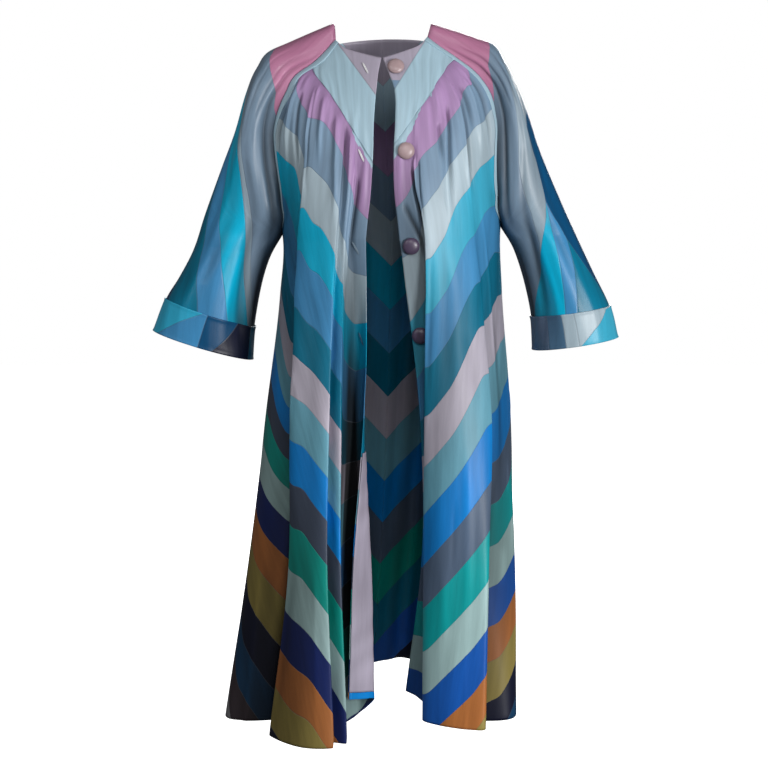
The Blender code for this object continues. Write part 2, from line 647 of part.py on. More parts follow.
def build_facing(lower, out, looks):
    """The facing that shows where the right front's edge turns out, with the blue hem turn-up below it."""
    flip = True
    first = int(np.argmax(-lower[:, 0, 2] > FACING_TOP))
    inside = lower - out * (CLOTH + LAY_GAP)
    facing = inside[first:-1, :FACING_COLUMNS]
    facing_out = out[first:-1, :FACING_COLUMNS]
    sew("front_facing_right", pull_back(facing, ("bottom",)), facing_out, looks["silk_lilac"], flip,
        thickness=THIN_CLOTH)
    turn_up = inside[-2:, :FACING_COLUMNS]
    turn_up_out = out[-2:, :FACING_COLUMNS]
    sew("hem_turn_up_right", pull_back(turn_up, ("top",)), turn_up_out, looks["silk_blue"], flip,
        thickness=THIN_CLOTH)


def place_on_front(side, inset, drop):
    """A place at a distance in from a front edge, its way out of the cloth, and its way down the edge."""
    panel = FrontPanel(side)
    across = np.linspace(0, PROBE_SHARE, PROBE_POINTS)
    line = panel.points(across, np.full(across.shape, drop))
    run = np.concatenate([[0], np.cumsum(np.linalg.norm(np.diff(line, axis=0), axis=1))])
    at = np.interp(inset, run, across)
    beside = at + PROBE_STEP
    below = drop + PROBE_STEP
    near = panel.points(np.array([at, at, beside]), np.array([drop, below, drop]))
    down = near[1] - near[0]
    inwards = near[2] - near[0]
    out = np.cross(down, inwards)
    if side == "right":
        out = -out
    return Vector(near[0]), Vector(out).normalized(), Vector(down).normalized()


def build_button(number, inset, drop, material):
    """A covered button: a domed disc on a short shank that stands on the cloth."""
    place, out, down = place_on_front("left", inset, drop)
    dome = [(BUTTON_RADIUS * math.cos(turn), BUTTON_RIM + BUTTON_RISE * math.sin(turn))
            for turn in np.linspace(0, math.pi / 2, DOME_STEPS + 1)[:-1]]
    profile = [(SHANK_RADIUS, 0.0), (SHANK_RADIUS, SHANK_LENGTH)]
    profile.append((BUTTON_RADIUS - BUTTON_RIM / 2, SHANK_LENGTH))
    profile += [(radius, SHANK_LENGTH + rise) for radius, rise in dome]
    rise = SHANK_LENGTH + BUTTON_RIM + BUTTON_RISE
    made = bmesh.new()
    rings = []
    for radius, height in profile:
        rings.append([made.verts.new((radius * math.cos(turn), radius * math.sin(turn), height))
                      for turn in np.arange(BUTTON_SIDES) * 2 * math.pi / BUTTON_SIDES])
    foot = made.verts.new((0, 0, 0))
    tip = made.verts.new((0, 0, rise))
    for step in range(BUTTON_SIDES):
        after = (step + 1) % BUTTON_SIDES
        made.faces.new((foot, rings[0][after], rings[0][step]))
        for low, high in zip(rings[:-1], rings[1:]):
            made.faces.new((low[step], low[after], high[after], high[step])).smooth = True
        made.faces.new((rings[-1][step], rings[-1][after], tip)).smooth = True
    mesh = bpy.data.meshes.new(f"button_{number}")
    made.to_mesh(mesh)
    made.free()
    item = add_object(f"button_{number}", mesh, material)
    item.rotation_mode = "QUATERNION"
    item.rotation_quaternion = out.to_track_quat("Z", "Y")
    item.location = place + out * LAY_GAP


def cut_buttonhole(number, inset, drop, slant, panels):
    """A slit through the right front, level but for its slant down towards the edge."""
    place, out, down = place_on_front("right", inset, drop)
    level = down.cross(out).normalized()
    if level.x < 0:
        level = -level
    turn = math.radians(slant)
    length = level * math.cos(turn) + down * math.sin(turn)
    width = out.cross(length)
    made = bmesh.new()
    bmesh.ops.create_cube(made, size=1.0)
    for vert in made.verts:
        x, y, z = vert.co
        vert.co = place + length * (x * HOLE_LENGTH) + width * (y * HOLE_WIDTH) + out * (z * HOLE_DEPTH)
    bmesh.ops.recalc_face_normals(made, faces=made.faces)
    mesh = bpy.data.meshes.new(f"buttonhole_cut_{number}")
    made.to_mesh(mesh)
    made.free()
    cutter = bpy.data.objects.new(mesh.name, mesh)
    bpy.context.scene.collection.objects.link(cutter)
    cutter.hide_render = True
    cutter.display_type = "WIRE"
    for panel in panels:
        cut = panel.modifiers.new(f"Buttonhole {number}", "BOOLEAN")
        cut.operation = "DIFFERENCE"
        cut.solver = "EXACT"
        cut.object = cutter


def build_front(side, looks):
    """A front's yoke and gathered lower part, with what lies on them."""
    yoke, lower = front_grids(side)
    flip = side == "right"
    out = outward(lower, flip)
    out[RAGLAN_ROWS:, -1] = (SIDES[side]["turn"], 0, 0)
    yoke_out = outward(yoke, flip)
    yoke_out[-1] = out[0]
    top = sew("yoke_" + side, pull_back(yoke, ("last", "bottom")), yoke_out, looks["silk_pale_blue"], flip)
    low = sew("front_" + side, pull_back(lower, ("last", "top")), out, looks["silk_blue"], flip)
    build_band(side, yoke, yoke_out, lower, out, looks)
    if side == "left":
        for number, (inset, drop) in enumerate(BUTTONS, start=1):
            build_button(number, inset, drop, looks[BUTTON_LOOKS[number - 1]])
    else:
        build_facing(lower, out, looks)
        for number, (inset, drop, slant) in enumerate(HOLES, start=1):
            cut_buttonhole(number, inset, drop, slant, [top] if number == 1 else [low])


def build_back(side, looks):
    on_seam = seam_drops(side)
    across = np.linspace(0, 1, BACK_COLUMNS + 1)
    rows = (on_seam - on_seam[0]) / (on_seam[-1] - on_seam[0])
    top = NECK_BACK + (NECK_POINT - NECK_BACK) * across ** 2
    bottom = BACK_HEM + (on_seam[-1] - BACK_HEM) * ease_in(across, BACK_HEM_LEVEL_TO, 1.0)
    drop = top + (bottom - top) * rows[:, None]
    grid = back_points(side, np.broadcast_to(across, drop.shape), drop)
    flip = side == "left"
    out = outward(grid, flip)
    out[:, 0] = (0, 1, 0)
    out[YOKE_ROWS + RAGLAN_ROWS:, -1] = (SIDES[side]["turn"], 0, 0)
    sew("back_" + side, pull_back(grid, ("first", "last")), out, looks["silk_teal"], flip)


def main():
    clear_scene()
    looks = {name: make_material(name) for name in MATERIALS}
    for side in SIDES:
        build_front(side, looks)
        build_back(side, looks)
        build_sleeve(side, looks)


main()
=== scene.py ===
import math

import bmesh
import bpy
import numpy as np
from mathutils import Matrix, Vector


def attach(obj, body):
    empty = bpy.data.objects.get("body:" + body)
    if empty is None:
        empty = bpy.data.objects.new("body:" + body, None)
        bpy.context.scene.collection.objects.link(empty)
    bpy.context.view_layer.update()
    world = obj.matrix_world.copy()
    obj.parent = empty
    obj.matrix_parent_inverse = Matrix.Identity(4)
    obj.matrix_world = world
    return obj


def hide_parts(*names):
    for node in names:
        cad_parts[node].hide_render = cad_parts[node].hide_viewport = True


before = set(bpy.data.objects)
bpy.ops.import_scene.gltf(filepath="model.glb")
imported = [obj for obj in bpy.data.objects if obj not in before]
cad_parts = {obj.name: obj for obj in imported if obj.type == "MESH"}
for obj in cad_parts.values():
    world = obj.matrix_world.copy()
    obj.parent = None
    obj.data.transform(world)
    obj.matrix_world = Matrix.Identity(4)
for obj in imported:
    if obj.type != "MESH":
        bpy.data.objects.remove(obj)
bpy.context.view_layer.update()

# A long patchwork silk duster coat, filled out as if worn, with nobody in it.
# Metres, +Z up, fronts towards -Y. Names ending in right and left are the wearer's.
# Heights are given as drops below the neck base.


# The room: a long lens a little below the neck, a floor of pale paper that runs on into a white
# room, one large soft light to the front right, and weaker ones around it.
camera = bpy.data.objects.new("camera", bpy.data.cameras.new("camera"))
bpy.context.scene.collection.objects.link(camera)
camera.data.sensor_width = 36.0
camera.data.lens = 77.15
camera.location = (0.004, -3.0, -0.295)
camera.rotation_euler = (math.radians(90 - 6.379), 0, 0)
bpy.context.scene.camera = camera

FLOOR_HEIGHT = -1.40
FLOOR_HALF_WIDTH = 8.0


def to_object(made, name, look):
    """A finished bmesh as an object of its own, at the origin."""
    mesh = bpy.data.meshes.new(name)
    made.to_mesh(mesh)
    made.free()
    mesh.materials.append(look)
    item = bpy.data.objects.new(name, mesh)
    bpy.context.scene.collection.objects.link(item)
    return item


paper_look = bpy.data.materials.new("pale paper")
paper_look.use_nodes = True
paper_shader = paper_look.node_tree.nodes["Principled BSDF"]
paper_shader.inputs["Base Color"].default_value = (0.92, 0.92, 0.92, 1)
paper_shader.inputs["Roughness"].default_value = 0.9
paper_shader.inputs["Emission Color"].default_value = (1, 1, 1, 1)
paper_shader.inputs["Emission Strength"].default_value = 1.0
paper = bmesh.new()
bmesh.ops.create_grid(paper, x_segments=1, y_segments=1, size=FLOOR_HALF_WIDTH)
for vert in paper.verts:
    vert.co.z = FLOOR_HEIGHT
floor = to_object(paper, "paper_floor", paper_look)
floor.visible_diffuse = False
floor.visible_glossy = False

for title, place, size, power in (
        ("key", (2.6, -3.0, -0.3), 1.1, 118),
        ("front", (0.3, -3.2, 1.2), 1.2, 26),
        ("fill", (-2.0, -2.2, 1.3), 1.4, 20),
        ("rear", (0.6, 3.6, 0.6), 1.8, 110)):
    light = bpy.data.objects.new(title, bpy.data.lights.new(title, "AREA"))
    light.data.size = size
    light.data.energy = power
    light.location = place
    aim = Vector((0, 0, -0.55)) - Vector(place)
    light.rotation_euler = aim.to_track_quat("-Z", "Y").to_euler()
    bpy.context.scene.collection.objects.link(light)
world = bpy.data.worlds.new("studio")
world.use_nodes = True
soft = world.node_tree.nodes["Background"]
soft.inputs["Color"].default_value = (1, 1, 1, 1)
soft.inputs["Strength"].default_value = 0.10
seen = world.node_tree.nodes.new("ShaderNodeBackground")
seen.inputs["Color"].default_value = (1, 1, 1, 1)
rays = world.node_tree.nodes.new("ShaderNodeLightPath")
pick = world.node_tree.nodes.new("ShaderNodeMixShader")
world.node_tree.links.new(rays.outputs["Is Camera Ray"], pick.inputs[0])
world.node_tree.links.new(soft.outputs[0], pick.inputs[1])
world.node_tree.links.new(seen.outputs[0], pick.inputs[2])
world.node_tree.links.new(pick.outputs[0], world.node_tree.nodes["World Output"].inputs["Surface"])
bpy.context.scene.world = world
bpy.context.scene.view_settings.view_transform = "Standard"


# Fronts: unlined silk patchwork, gathered into the V-shaped yokes and falling to the hem in deep
# folds. The bands of the patchwork climb from the front edge towards the side, and are sewn edge
# to edge.

# The form that the silk hangs on: level ellipses with their front and back depths, and where
# the front edges, the raglan seams and the side seams lie round them, in degrees from its front
FORM_COLUMNS = ("drop", "centre", "half_width", "front", "back")
FORM = (
    (-0.03, 0.0000, 0.0750, 0.052, 0.066),
    (0.01, 0.0000, 0.1050, 0.066, 0.078),
    (0.05, 0.0010, 0.1630, 0.080, 0.092),
    (0.07, 0.0015, 0.1900, 0.091, 0.100),
    (0.10, 0.0030, 0.2100, 0.107, 0.111),
    (0.16, 0.0060, 0.2220, 0.127, 0.124),
    (0.24, 0.0110, 0.2150, 0.139, 0.130),
    (0.30, 0.0150, 0.2050, 0.144, 0.131),
    (0.36, 0.0180, 0.1970, 0.146, 0.131),
    (0.46, 0.0165, 0.2020, 0.148, 0.138),
    (0.70, 0.0105, 0.2265, 0.165, 0.165),
    (0.90, 0.0020, 0.2380, 0.185, 0.190),
    (1.23, -0.0180, 0.2540, 0.212, 0.226),
)
ANGLE_COLUMNS = ("drop", "edge_right", "edge_left", "raglan_right", "raglan_left", "side")
ANGLES = (
    (0.010, -1.0, -1.0, 52.0, 50.0, 51.0),
    (0.050, 0.8, 0.6, 48.5, 54.0, 51.5),
    (0.070, 2.0, 2.6, 53.5, 56.0, 55.0),
    (0.100, 3.2, 4.8, 55.0, 60.0, 58.0),
    (0.160, 5.0, 4.4, 62.0, 62.5, 62.5),
    (0.210, 6.2, 3.0, 64.5, 62.5, 66.0),
    (0.290, 9.4, 2.0, 69.5, 68.5, 74.0),
    (0.335, 12.0, 2.8, 78.0, 78.0, 80.0),
    (0.351, 12.8, 3.1, 90.0, 90.0, 82.0),
    (0.450, 14.0, 3.5, 90.0, 90.0, 90.0),
    (1.230, 14.0, 3.5, 90.0, 90.0, 90.0),
)
TILT = 0.035
SEAM_FOLLOW = 8
TURN = {"right": -1.0, "left": 1.0}


def blend(knots, at):
    """Weights that carry values at the knots, on a smooth curve, to the places asked for."""
    knots = np.asarray(knots, float)
    at = np.clip(np.asarray(at, float), knots[0], knots[-1])
    unit = np.eye(len(knots))
    slopes = np.gradient(unit, knots, axis=0)
    cell = np.clip(np.searchsorted(knots, at, side="right") - 1, 0, len(knots) - 2)
    span = (knots[cell + 1] - knots[cell])[..., None]
    t = (at - knots[cell])[..., None] / span
    ease = t * t * (3 - 2 * t)
    leave = t * (1 - t) ** 2 * span
    arrive = t * t * (t - 1) * span
    between = (1 - ease) * unit[cell] + ease * unit[cell + 1]
    return between + leave * slopes[cell] + arrive * slopes[cell + 1]


def column(table, names, name):
    """One named column of a table."""
    place = names.index(name)
    return np.array([row[place] for row in table], float)


def read(table, names, name, at):
    """A column's value on a smooth curve through the rows, read against the first column."""
    return blend(column(table, names, names[0]), at) @ column(table, names, name)


def ease_in(value, start, end):
    """Zero before the start and one after the end, with a soft step between."""
    t = np.clip((np.asarray(value, float) - start) / (end - start), 0, 1)
    return t * t * (3 - 2 * t)


def form_point(angle, drop):
    """A place on the form, at an angle in radians from its front, towards +X."""
    centre = read(FORM, FORM_COLUMNS, "centre", drop)
    half = read(FORM, FORM_COLUMNS, "half_width", drop)
    front = read(FORM, FORM_COLUMNS, "front", drop)
    back = read(FORM, FORM_COLUMNS, "back", drop)
    depth = np.where(np.cos(angle) > 0, front, back)
    return np.stack([centre + half * np.sin(angle), -depth * np.cos(angle)], axis=-1)


def side_angle(side, share, drop):
    """The angle from the form's front, or from its back, that a share of the way to the side has."""
    plain = np.minimum(read(ANGLES, ANGLE_COLUMNS, "side", drop), 90.0)
    seam = np.minimum(read(ANGLES, ANGLE_COLUMNS, "raglan_" + side, drop), 90.0)
    return plain * share + (seam - plain) * np.clip(share, 0, 1) ** SEAM_FOLLOW


def front_angle(side, share, drop):
    """The form's angle at a share of the way from a front edge to the raglan or side seam."""
    edge = read(ANGLES, ANGLE_COLUMNS, "edge_" + side, drop)
    return TURN[side] * np.radians(edge * (1 - share) + side_angle(side, share, drop))


def lift(plan, drop):
    """Plan positions with their heights, and with the coat's tilt."""
    height = -np.asarray(drop, float) + TILT * plan[..., 0]
    return np.concatenate([plan, height[..., None]], axis=-1)


def outward(grid, side):
    """Unit normals of a grid's rows and columns, out of the coat."""
    normal = np.cross(np.gradient(grid, axis=0), np.gradient(grid, axis=1))
    normal /= np.linalg.norm(normal, axis=-1, keepdims=True)
    return normal * TURN[side]


def run_along(grid):
    """The distance of each point of a grid from the start of its row."""
    steps = np.linalg.norm(np.diff(grid, axis=1), axis=-1)
    return np.concatenate([np.zeros((len(grid), 1)), np.cumsum(steps, axis=1)], axis=1)


def shares(size):
    """Shares across and down a sheet, for the corners of a grid of columns and rows."""
    columns, rows = size
    across = np.broadcast_to(np.linspace(0, 1, columns + 1), (rows + 1, columns + 1))
    return across, np.linspace(0, 1, rows + 1)[:, None]


def cloth_maps(bands, run, down, light):
    """A sheet's UV maps: the patchwork, metres across and down, and the light left in its folds."""
    # The map named depth holds painted shade and painted highlight, which silk() multiplies into the dye
    pairs = {"bands": bands, "cloth": (run, down), "depth": (light - 0.5, run)}
    return {title: np.stack(np.broadcast_arrays(*pair), axis=-1) for title, pair in pairs.items()}


def lay_cloth(name, points, marks, turned, thickness, look, joined=False):
    """A sheet of cloth whose flat grid is moved to the points, with a wall moved in from them."""
    rows, columns = points.shape[0] - 1, points.shape[1] - 1
    made = bmesh.new()
    layers = {title: made.loops.layers.uv.new(title) for title in marks}
    bmesh.ops.create_grid(made, x_segments=columns, y_segments=rows, size=1.0)
    cells = {}
    for vert in made.verts:
        cells[vert] = (round((1 - vert.co.y) / 2 * rows), round((vert.co.x + 1) / 2 * columns))
    for vert, cell in cells.items():
        vert.co = points[cell]
    for face in made.faces:
        face.smooth = True
        for loop in face.loops:
            for title, values in marks.items():
                loop[layers[title]].uv = values[cells[loop.vert]]
    if joined:
        bmesh.ops.remove_doubles(made, verts=made.verts[:], dist=0.00001)
    if turned:
        bmesh.ops.reverse_faces(made, faces=made.faces[:])
    item = to_object(made, name, look)
    wall = item.modifiers.new("Cloth thickness", "SOLIDIFY")
    wall.thickness = thickness
    wall.offset = -1.0
    return item


class Wire:
    """A socket of a material's nodes. Sums written on it become Math nodes."""

    def __init__(self, tree, socket):
        self.tree = tree
        self.socket = socket

    def node(self, kind, settings, inputs, output=0):
        """Another node, with its settings and the values or links of its sockets."""
        made = self.tree.nodes.new(kind)
        for name, value in settings.items():
            setattr(made, name, value)
        for key, value in inputs.items():
            if isinstance(value, Wire):
                self.tree.links.new(value.socket, made.inputs[key])
            else:
                made.inputs[key].default_value = value
        return Wire(self.tree, made.outputs[output])

    def maths(self, operation, *others):
        inputs = dict(enumerate((self,) + others))
        return self.node("ShaderNodeMath", {"operation": operation}, inputs)

    def __add__(self, other):
        return self.maths("ADD", other)

    def __sub__(self, other):
        return self.maths("SUBTRACT", other)

    def __mul__(self, other):
        return self.maths("MULTIPLY", other)

    def __rsub__(self, other):
        return self.node("ShaderNodeMath", {"operation": "SUBTRACT"}, {0: other, 1: self})

    __radd__ = __add__
    __rmul__ = __mul__

    def noise(self, where, scale, detail=3.0, rough=0.5):
        """Noise between 0 and 1, stretched by its scales across and down the cloth."""
        spot = self.node("ShaderNodeMapping", {}, {"Vector": where, "Scale": (*scale, 1.0)})
        inputs = {"Vector": spot, "Scale": 1.0, "Detail": detail, "Roughness": rough}
        return self.node("ShaderNodeTexNoise", {"noise_dimensions": "2D"}, inputs)

    def ramp(self, stops, sharp):
        """Colours read against this value, in steps or in a smooth run."""
        made = self.node("ShaderNodeValToRGB", {}, {"Fac": self})
        scale = made.socket.node.color_ramp
        scale.interpolation = "CONSTANT" if sharp else "LINEAR"
        while len(scale.elements) < len(stops):
            scale.elements.new(1.0)
        for element, (place, colour) in zip(scale.elements, stops):
            element.position = place
            element.color = (*colour, 1.0)
        return made

    def curve(self, points):
        """A value read against this one along straight lines between points from 0 to 1."""
        made = self.node("ShaderNodeFloatCurve", {}, {"Value": self})
        mapping = made.socket.node.mapping
        knots = mapping.curves[0].points
        while len(knots) < len(points):
            knots.new(1.0, 1.0)
        for knot, (at, value) in zip(knots, sorted(points)):
            knot.location = (at, value)
            knot.handle_type = "VECTOR"
        mapping.update()
        return made

    def mix(self, factor, other, blend="MIX"):
        """This colour with another over it."""
        settings = {"data_type": "RGBA", "blend_type": blend}
        return self.node("ShaderNodeMix", settings, {"Factor": factor, "A": self, "B": other}, 2)


def new_look(name):
    """A material with its own shader, and a loose wire to start its nodes from."""
    look = bpy.data.materials.new(name)
    look.use_nodes = True
    return look, look.node_tree.nodes["Principled BSDF"], Wire(look.node_tree, None)


def finish_look(shader, colour, height, strength, distance, roughness):
    """Joins a material's colour, its relief as a bump, and its roughness to the shader."""
    inputs = {"Strength": strength, "Distance": distance, "Height": height}
    bump = height.node("ShaderNodeBump", {}, inputs)
    colour.tree.links.new(colour.socket, shader.inputs["Base Color"])
    colour.tree.links.new(bump.socket, shader.inputs["Normal"])
    if isinstance(roughness, Wire):
        colour.tree.links.new(roughness.socket, shader.inputs["Roughness"])
    else:
        shader.inputs["Roughness"].default_value = roughness


def linear(*shades):
    """An sRGB colour, from 0 to 255, as the linear one that a shader takes."""
    parts = [shade / 255 for shade in shades]
    return tuple(part / 12.92 if part <= 0.04045 else ((part + 0.055) / 1.055) ** 2.4 for part in parts)


# The dyed silks of the fronts, from the neck down, and two darker copies that carry painted shade
PALE_BLUE = linear(162, 190, 204)
MAUVE = linear(162, 130, 172)
SLATE = linear(116, 142, 166)
PALE_GREY = linear(162, 180, 190)
CYAN = linear(0, 168, 204)
SOFT_CYAN = linear(58, 166, 196)
PERIWINKLE = linear(64, 138, 188)
DEEP_TEAL = linear(0, 112, 142)
PALE_LILAC = linear(182, 176, 190)
GREY_TEAL = linear(104, 164, 184)
VIVID_BLUE = linear(0, 128, 208)
SLATE_DARK = linear(82, 100, 124)
GREEN = linear(0, 148, 136)
SEA_GREEN = linear(0, 158, 160)
MINT = linear(160, 190, 190)
ROYAL = linear(20, 88, 176)
# Painted shade: ROYAL and SLATE_DARK again, made darker for the right front, which stands away from the
# light
SHADED_ROYAL = linear(16, 36, 98)
SHADED_SLATE_DARK = linear(64, 74, 92)
COPPER = linear(178, 110, 58)
OLIVE = linear(152, 136, 72)
NAVY = linear(8, 14, 44)
BROWN = linear(62, 52, 58)
DUSK_BLUE = linear(10, 62, 98)
STONE = linear(140, 140, 144)

# The bands map counts bands in steps of one part in BAND_SCALE. An edge's curve holds values from
# 0 to 1 only, so EDGE_SHIFT carries the lines that start below 0. The two seam values say how
# sharply the shadow of a seam fades on counted bands and on drawn edges.
BAND_SCALE = 32
EDGE_SHIFT = 0.4
COUNTED_SEAM = 70.0
DRAWN_SEAM = 260.0
SEAM_SHADOW = (0.10, 0.11, 0.13, 1)
# The least light that painted shade leaves in a fold, and the most that a painted highlight gives a crest
DEEPEST_LIGHT = 0.02
CREST_LIGHT = 1.15


def silk(name, colours, edges=None, gloss=0.38, crinkle=1.0):
    """Crisp silk taffeta. Without edges, the bands map's first value counts through the colours.
    With them, each colour after the first starts where that value passes the colour's own line."""
    look, shader, start = new_look(name)
    bands = start.node("ShaderNodeUVMap", {"uv_map": "bands"}, {})
    cloth = start.node("ShaderNodeUVMap", {"uv_map": "cloth"}, {})
    # The depth map's first value is painted shade and painted highlight of the folds, not a depth
    depth = start.node("ShaderNodeUVMap", {"uv_map": "depth"}, {})
    place = start.node("ShaderNodeSeparateXYZ", {}, {"Vector": bands})
    painted_fold_light = start.node("ShaderNodeSeparateXYZ", {}, {"Vector": depth})
    join = start.node("ShaderNodeValue", {}, {})
    join.socket.default_value = 0.0
    if edges is None:
        stops = [(number / BAND_SCALE, colour) for number, colour in enumerate(colours)]
        dye = place.ramp(stops, sharp=True)
        within = (place * BAND_SCALE).maths("FRACT")
        nearest = 0.5 - (within - 0.5).maths("ABSOLUTE")
        join = (1.0 - nearest * COUNTED_SEAM).maths("MAXIMUM", 0.0)
    else:
        along = start.node("ShaderNodeSeparateXYZ", {}, {"Vector": bands}, 1)
        dye = start.node("ShaderNodeRGB", {}, {})
        dye.socket.default_value = (*colours[0], 1)
        for colour, points in zip(colours[1:], edges):
            past = place - (along.curve([(at, value + EDGE_SHIFT) for at, value in points]) - EDGE_SHIFT)
            dye = dye.mix(past.maths("GREATER_THAN", 0.0), (*colour, 1))
            join = join.maths("MAXIMUM", 1.0 - past.maths("ABSOLUTE") * DRAWN_SEAM)
    streaks = start.noise(cloth, (52.0, 4.0), 5.0, 0.6)
    clouds = start.noise(cloth, (16.0, 5.0), 2.0)
    shade = (streaks - 0.5) * 0.55 + (clouds - 0.5) * 0.35 + 1.0
    # Painted shade in the folds and painted highlight on their crests, read from the depth map, multiply
    # the dye
    light = (painted_fold_light + 0.5).maths("MINIMUM", CREST_LIGHT).maths("MAXIMUM", DEEPEST_LIGHT)
    shade = shade * light
    tone = start.node("ShaderNodeCombineColor", {}, {"Red": shade, "Green": shade, "Blue": shade})
    dyed = dye.mix(1.0, tone, "MULTIPLY").mix(join * 0.35, SEAM_SHADOW)
    crease = start.noise(cloth, (22.0, 4.5), 3.0, 0.5)
    weave = start.noise(cloth, (500.0, 2600.0), 1.0)
    height = crease * (0.9 * crinkle) + streaks * (0.22 * crinkle) + weave * 0.03 - join * 0.25
    dull = (1.0 - light).maths("MAXIMUM", 0.0) * 0.4
    finish_look(shader, dyed, height, 0.5, 0.0026, gloss + (clouds - 0.5) * 0.12 + dull)
    shader.inputs["Specular IOR Level"].default_value = 0.3
    shader.inputs["Coat Weight"].default_value = 0.05
    shader.inputs["Coat Roughness"].default_value = 0.25
    return look


# Where the folds' ridges and hollows stand at the bust, the waist, the knee and the hem, whose
# drops are LEVELS, and the drop of the hem's edge at each fold
LEVELS = (0.36, 0.70, 0.90, 1.21)
FOLD_COLUMNS = ("fold", "bust_x", "bust_y", "waist_x", "waist_y", "knee_x", "knee_y",
                "hem_x", "hem_y", "hem")
FOLDS = {
    "right": (
        ("edge", -0.0270, -0.1460, -0.0325, -0.1120, -0.0500, -0.1370, -0.0620, -0.1520, 1.176),
        ("lapel", -0.0340, -0.1460, -0.0310, -0.1000, -0.0360, -0.1230, -0.0380, -0.1320, 1.182),
        ("lapel fold", -0.0420, -0.1450, -0.0340, -0.0880, -0.0235, -0.1070, -0.0166, -0.1120, 1.188),
        ("trough floor", -0.0500, -0.1430, -0.0460, -0.0820, -0.0430, -0.0860, -0.0400, -0.0860, 1.222),
        ("trough wall", -0.0560, -0.1420, -0.0620, -0.1080, -0.0680, -0.1220, -0.0720, -0.1280, 1.231),
        ("ridge 3 under", -0.0600, -0.1440, -0.0710, -0.1500, -0.0775, -0.1800, -0.0780, -0.2000, 1.222),
        ("ridge 3", -0.0645, -0.1500, -0.0715, -0.1940, -0.0715, -0.2330, -0.0600, -0.2620, 1.220),
        ("ridge 2 under", -0.0760, -0.1450, -0.0960, -0.1780, -0.1010, -0.2160, -0.0920, -0.2520, 1.220),
        ("ridge 2", -0.0800, -0.1520, -0.0905, -0.2020, -0.0925, -0.2430, -0.0815, -0.2800, 1.221),
        ("face", -0.1130, -0.1380, -0.1250, -0.1900, -0.1270, -0.2280, -0.1350, -0.2720, 1.221),
        ("ridge 1", -0.1467, -0.1180, -0.1600, -0.1700, -0.1610, -0.1950, -0.1950, -0.2115, 1.218),
        ("ridge 1 under", -0.1380, -0.1000, -0.1250, -0.1120, -0.1180, -0.1080, -0.1500, -0.1120, 1.214),
        ("side hollow", -0.1520, -0.0940, -0.1620, -0.1030, -0.1650, -0.1220, -0.2000, -0.1400, 1.213),
        ("side ridge", -0.1680, -0.0600, -0.1940, -0.0700, -0.2140, -0.0980, -0.2500, -0.1360, 1.213),
        ("side face", -0.1770, -0.0260, -0.2110, -0.0330, -0.2370, -0.0520, -0.2830, -0.1080, 1.211),
    ),
    "left": (
        ("edge", 0.0300, -0.1440, 0.0690, -0.1180, 0.0730, -0.1075, 0.0405, -0.0780, 1.186),
        ("button strip", 0.0500, -0.1420, 0.0860, -0.1210, 0.0872, -0.1120, 0.0590, -0.0890, 1.192),
        ("strip hollow", 0.0670, -0.1400, 0.0990, -0.1300, 0.0985, -0.1240, 0.0760, -0.1080, 1.200),
        ("ridge 1 under", 0.0715, -0.1440, 0.0900, -0.1520, 0.0912, -0.1520, 0.0850, -0.1420, 1.208),
        ("ridge 1", 0.0745, -0.1500, 0.0735, -0.1660, 0.0725, -0.1690, 0.0715, -0.1720, 1.212),
        ("face", 0.0950, -0.1440, 0.0980, -0.1790, 0.1000, -0.1890, 0.1000, -0.1990, 1.214),
        ("side face", 0.1250, -0.1310, 0.1430, -0.1770, 0.1450, -0.1930, 0.1450, -0.2170, 1.217),
        ("ridge 2", 0.1600, -0.1080, 0.1930, -0.1500, 0.1880, -0.1820, 0.1818, -0.2150, 1.218),
        ("ridge 2 under", 0.1680, -0.0960, 0.1830, -0.1310, 0.1660, -0.1530, 0.1570, -0.1730, 1.216),
        ("side hollow", 0.1780, -0.0840, 0.1980, -0.1200, 0.1870, -0.1440, 0.1840, -0.1770, 1.216),
        ("side ridge", 0.2000, -0.0520, 0.2240, -0.0740, 0.2340, -0.0960, 0.2380, -0.1560, 1.216),
        ("side fall", 0.2110, -0.0240, 0.2340, -0.0350, 0.2390, -0.0460, 0.2400, -0.0700, 1.217),
    ),
}
SIDE_HEM = {"right": 1.206, "left": 1.218}
YOKE_SEAM_COLUMNS = ("share", "right", "left")
YOKE_SEAM = (
    (0.00, 0.230, 0.200),
    (0.16, 0.173, 0.150),
    (0.38, 0.113, 0.101),
    (0.60, 0.080, 0.073),
    (1.00, 0.049, 0.049),
)
# The right front takes the darker copies of slate and royal, painted with its shade
SIDE_COLOURS = {"right": (CYAN, SHADED_SLATE_DARK, GREEN, SHADED_ROYAL), "left": (SOFT_CYAN, SLATE_DARK, SEA_GREEN, ROYAL)}
FRONT_COLOURS = {
    side: (PALE_BLUE, MAUVE, SLATE, PALE_GREY, cyan, PERIWINKLE, DEEP_TEAL, PALE_LILAC, GREY_TEAL,
           VIVID_BLUE, slate, green, MINT, royal, COPPER, OLIVE, NAVY, DUSK_BLUE, BROWN) + 3 * (STONE,)
    for side, (cyan, slate, green, royal) in SIDE_COLOURS.items()}

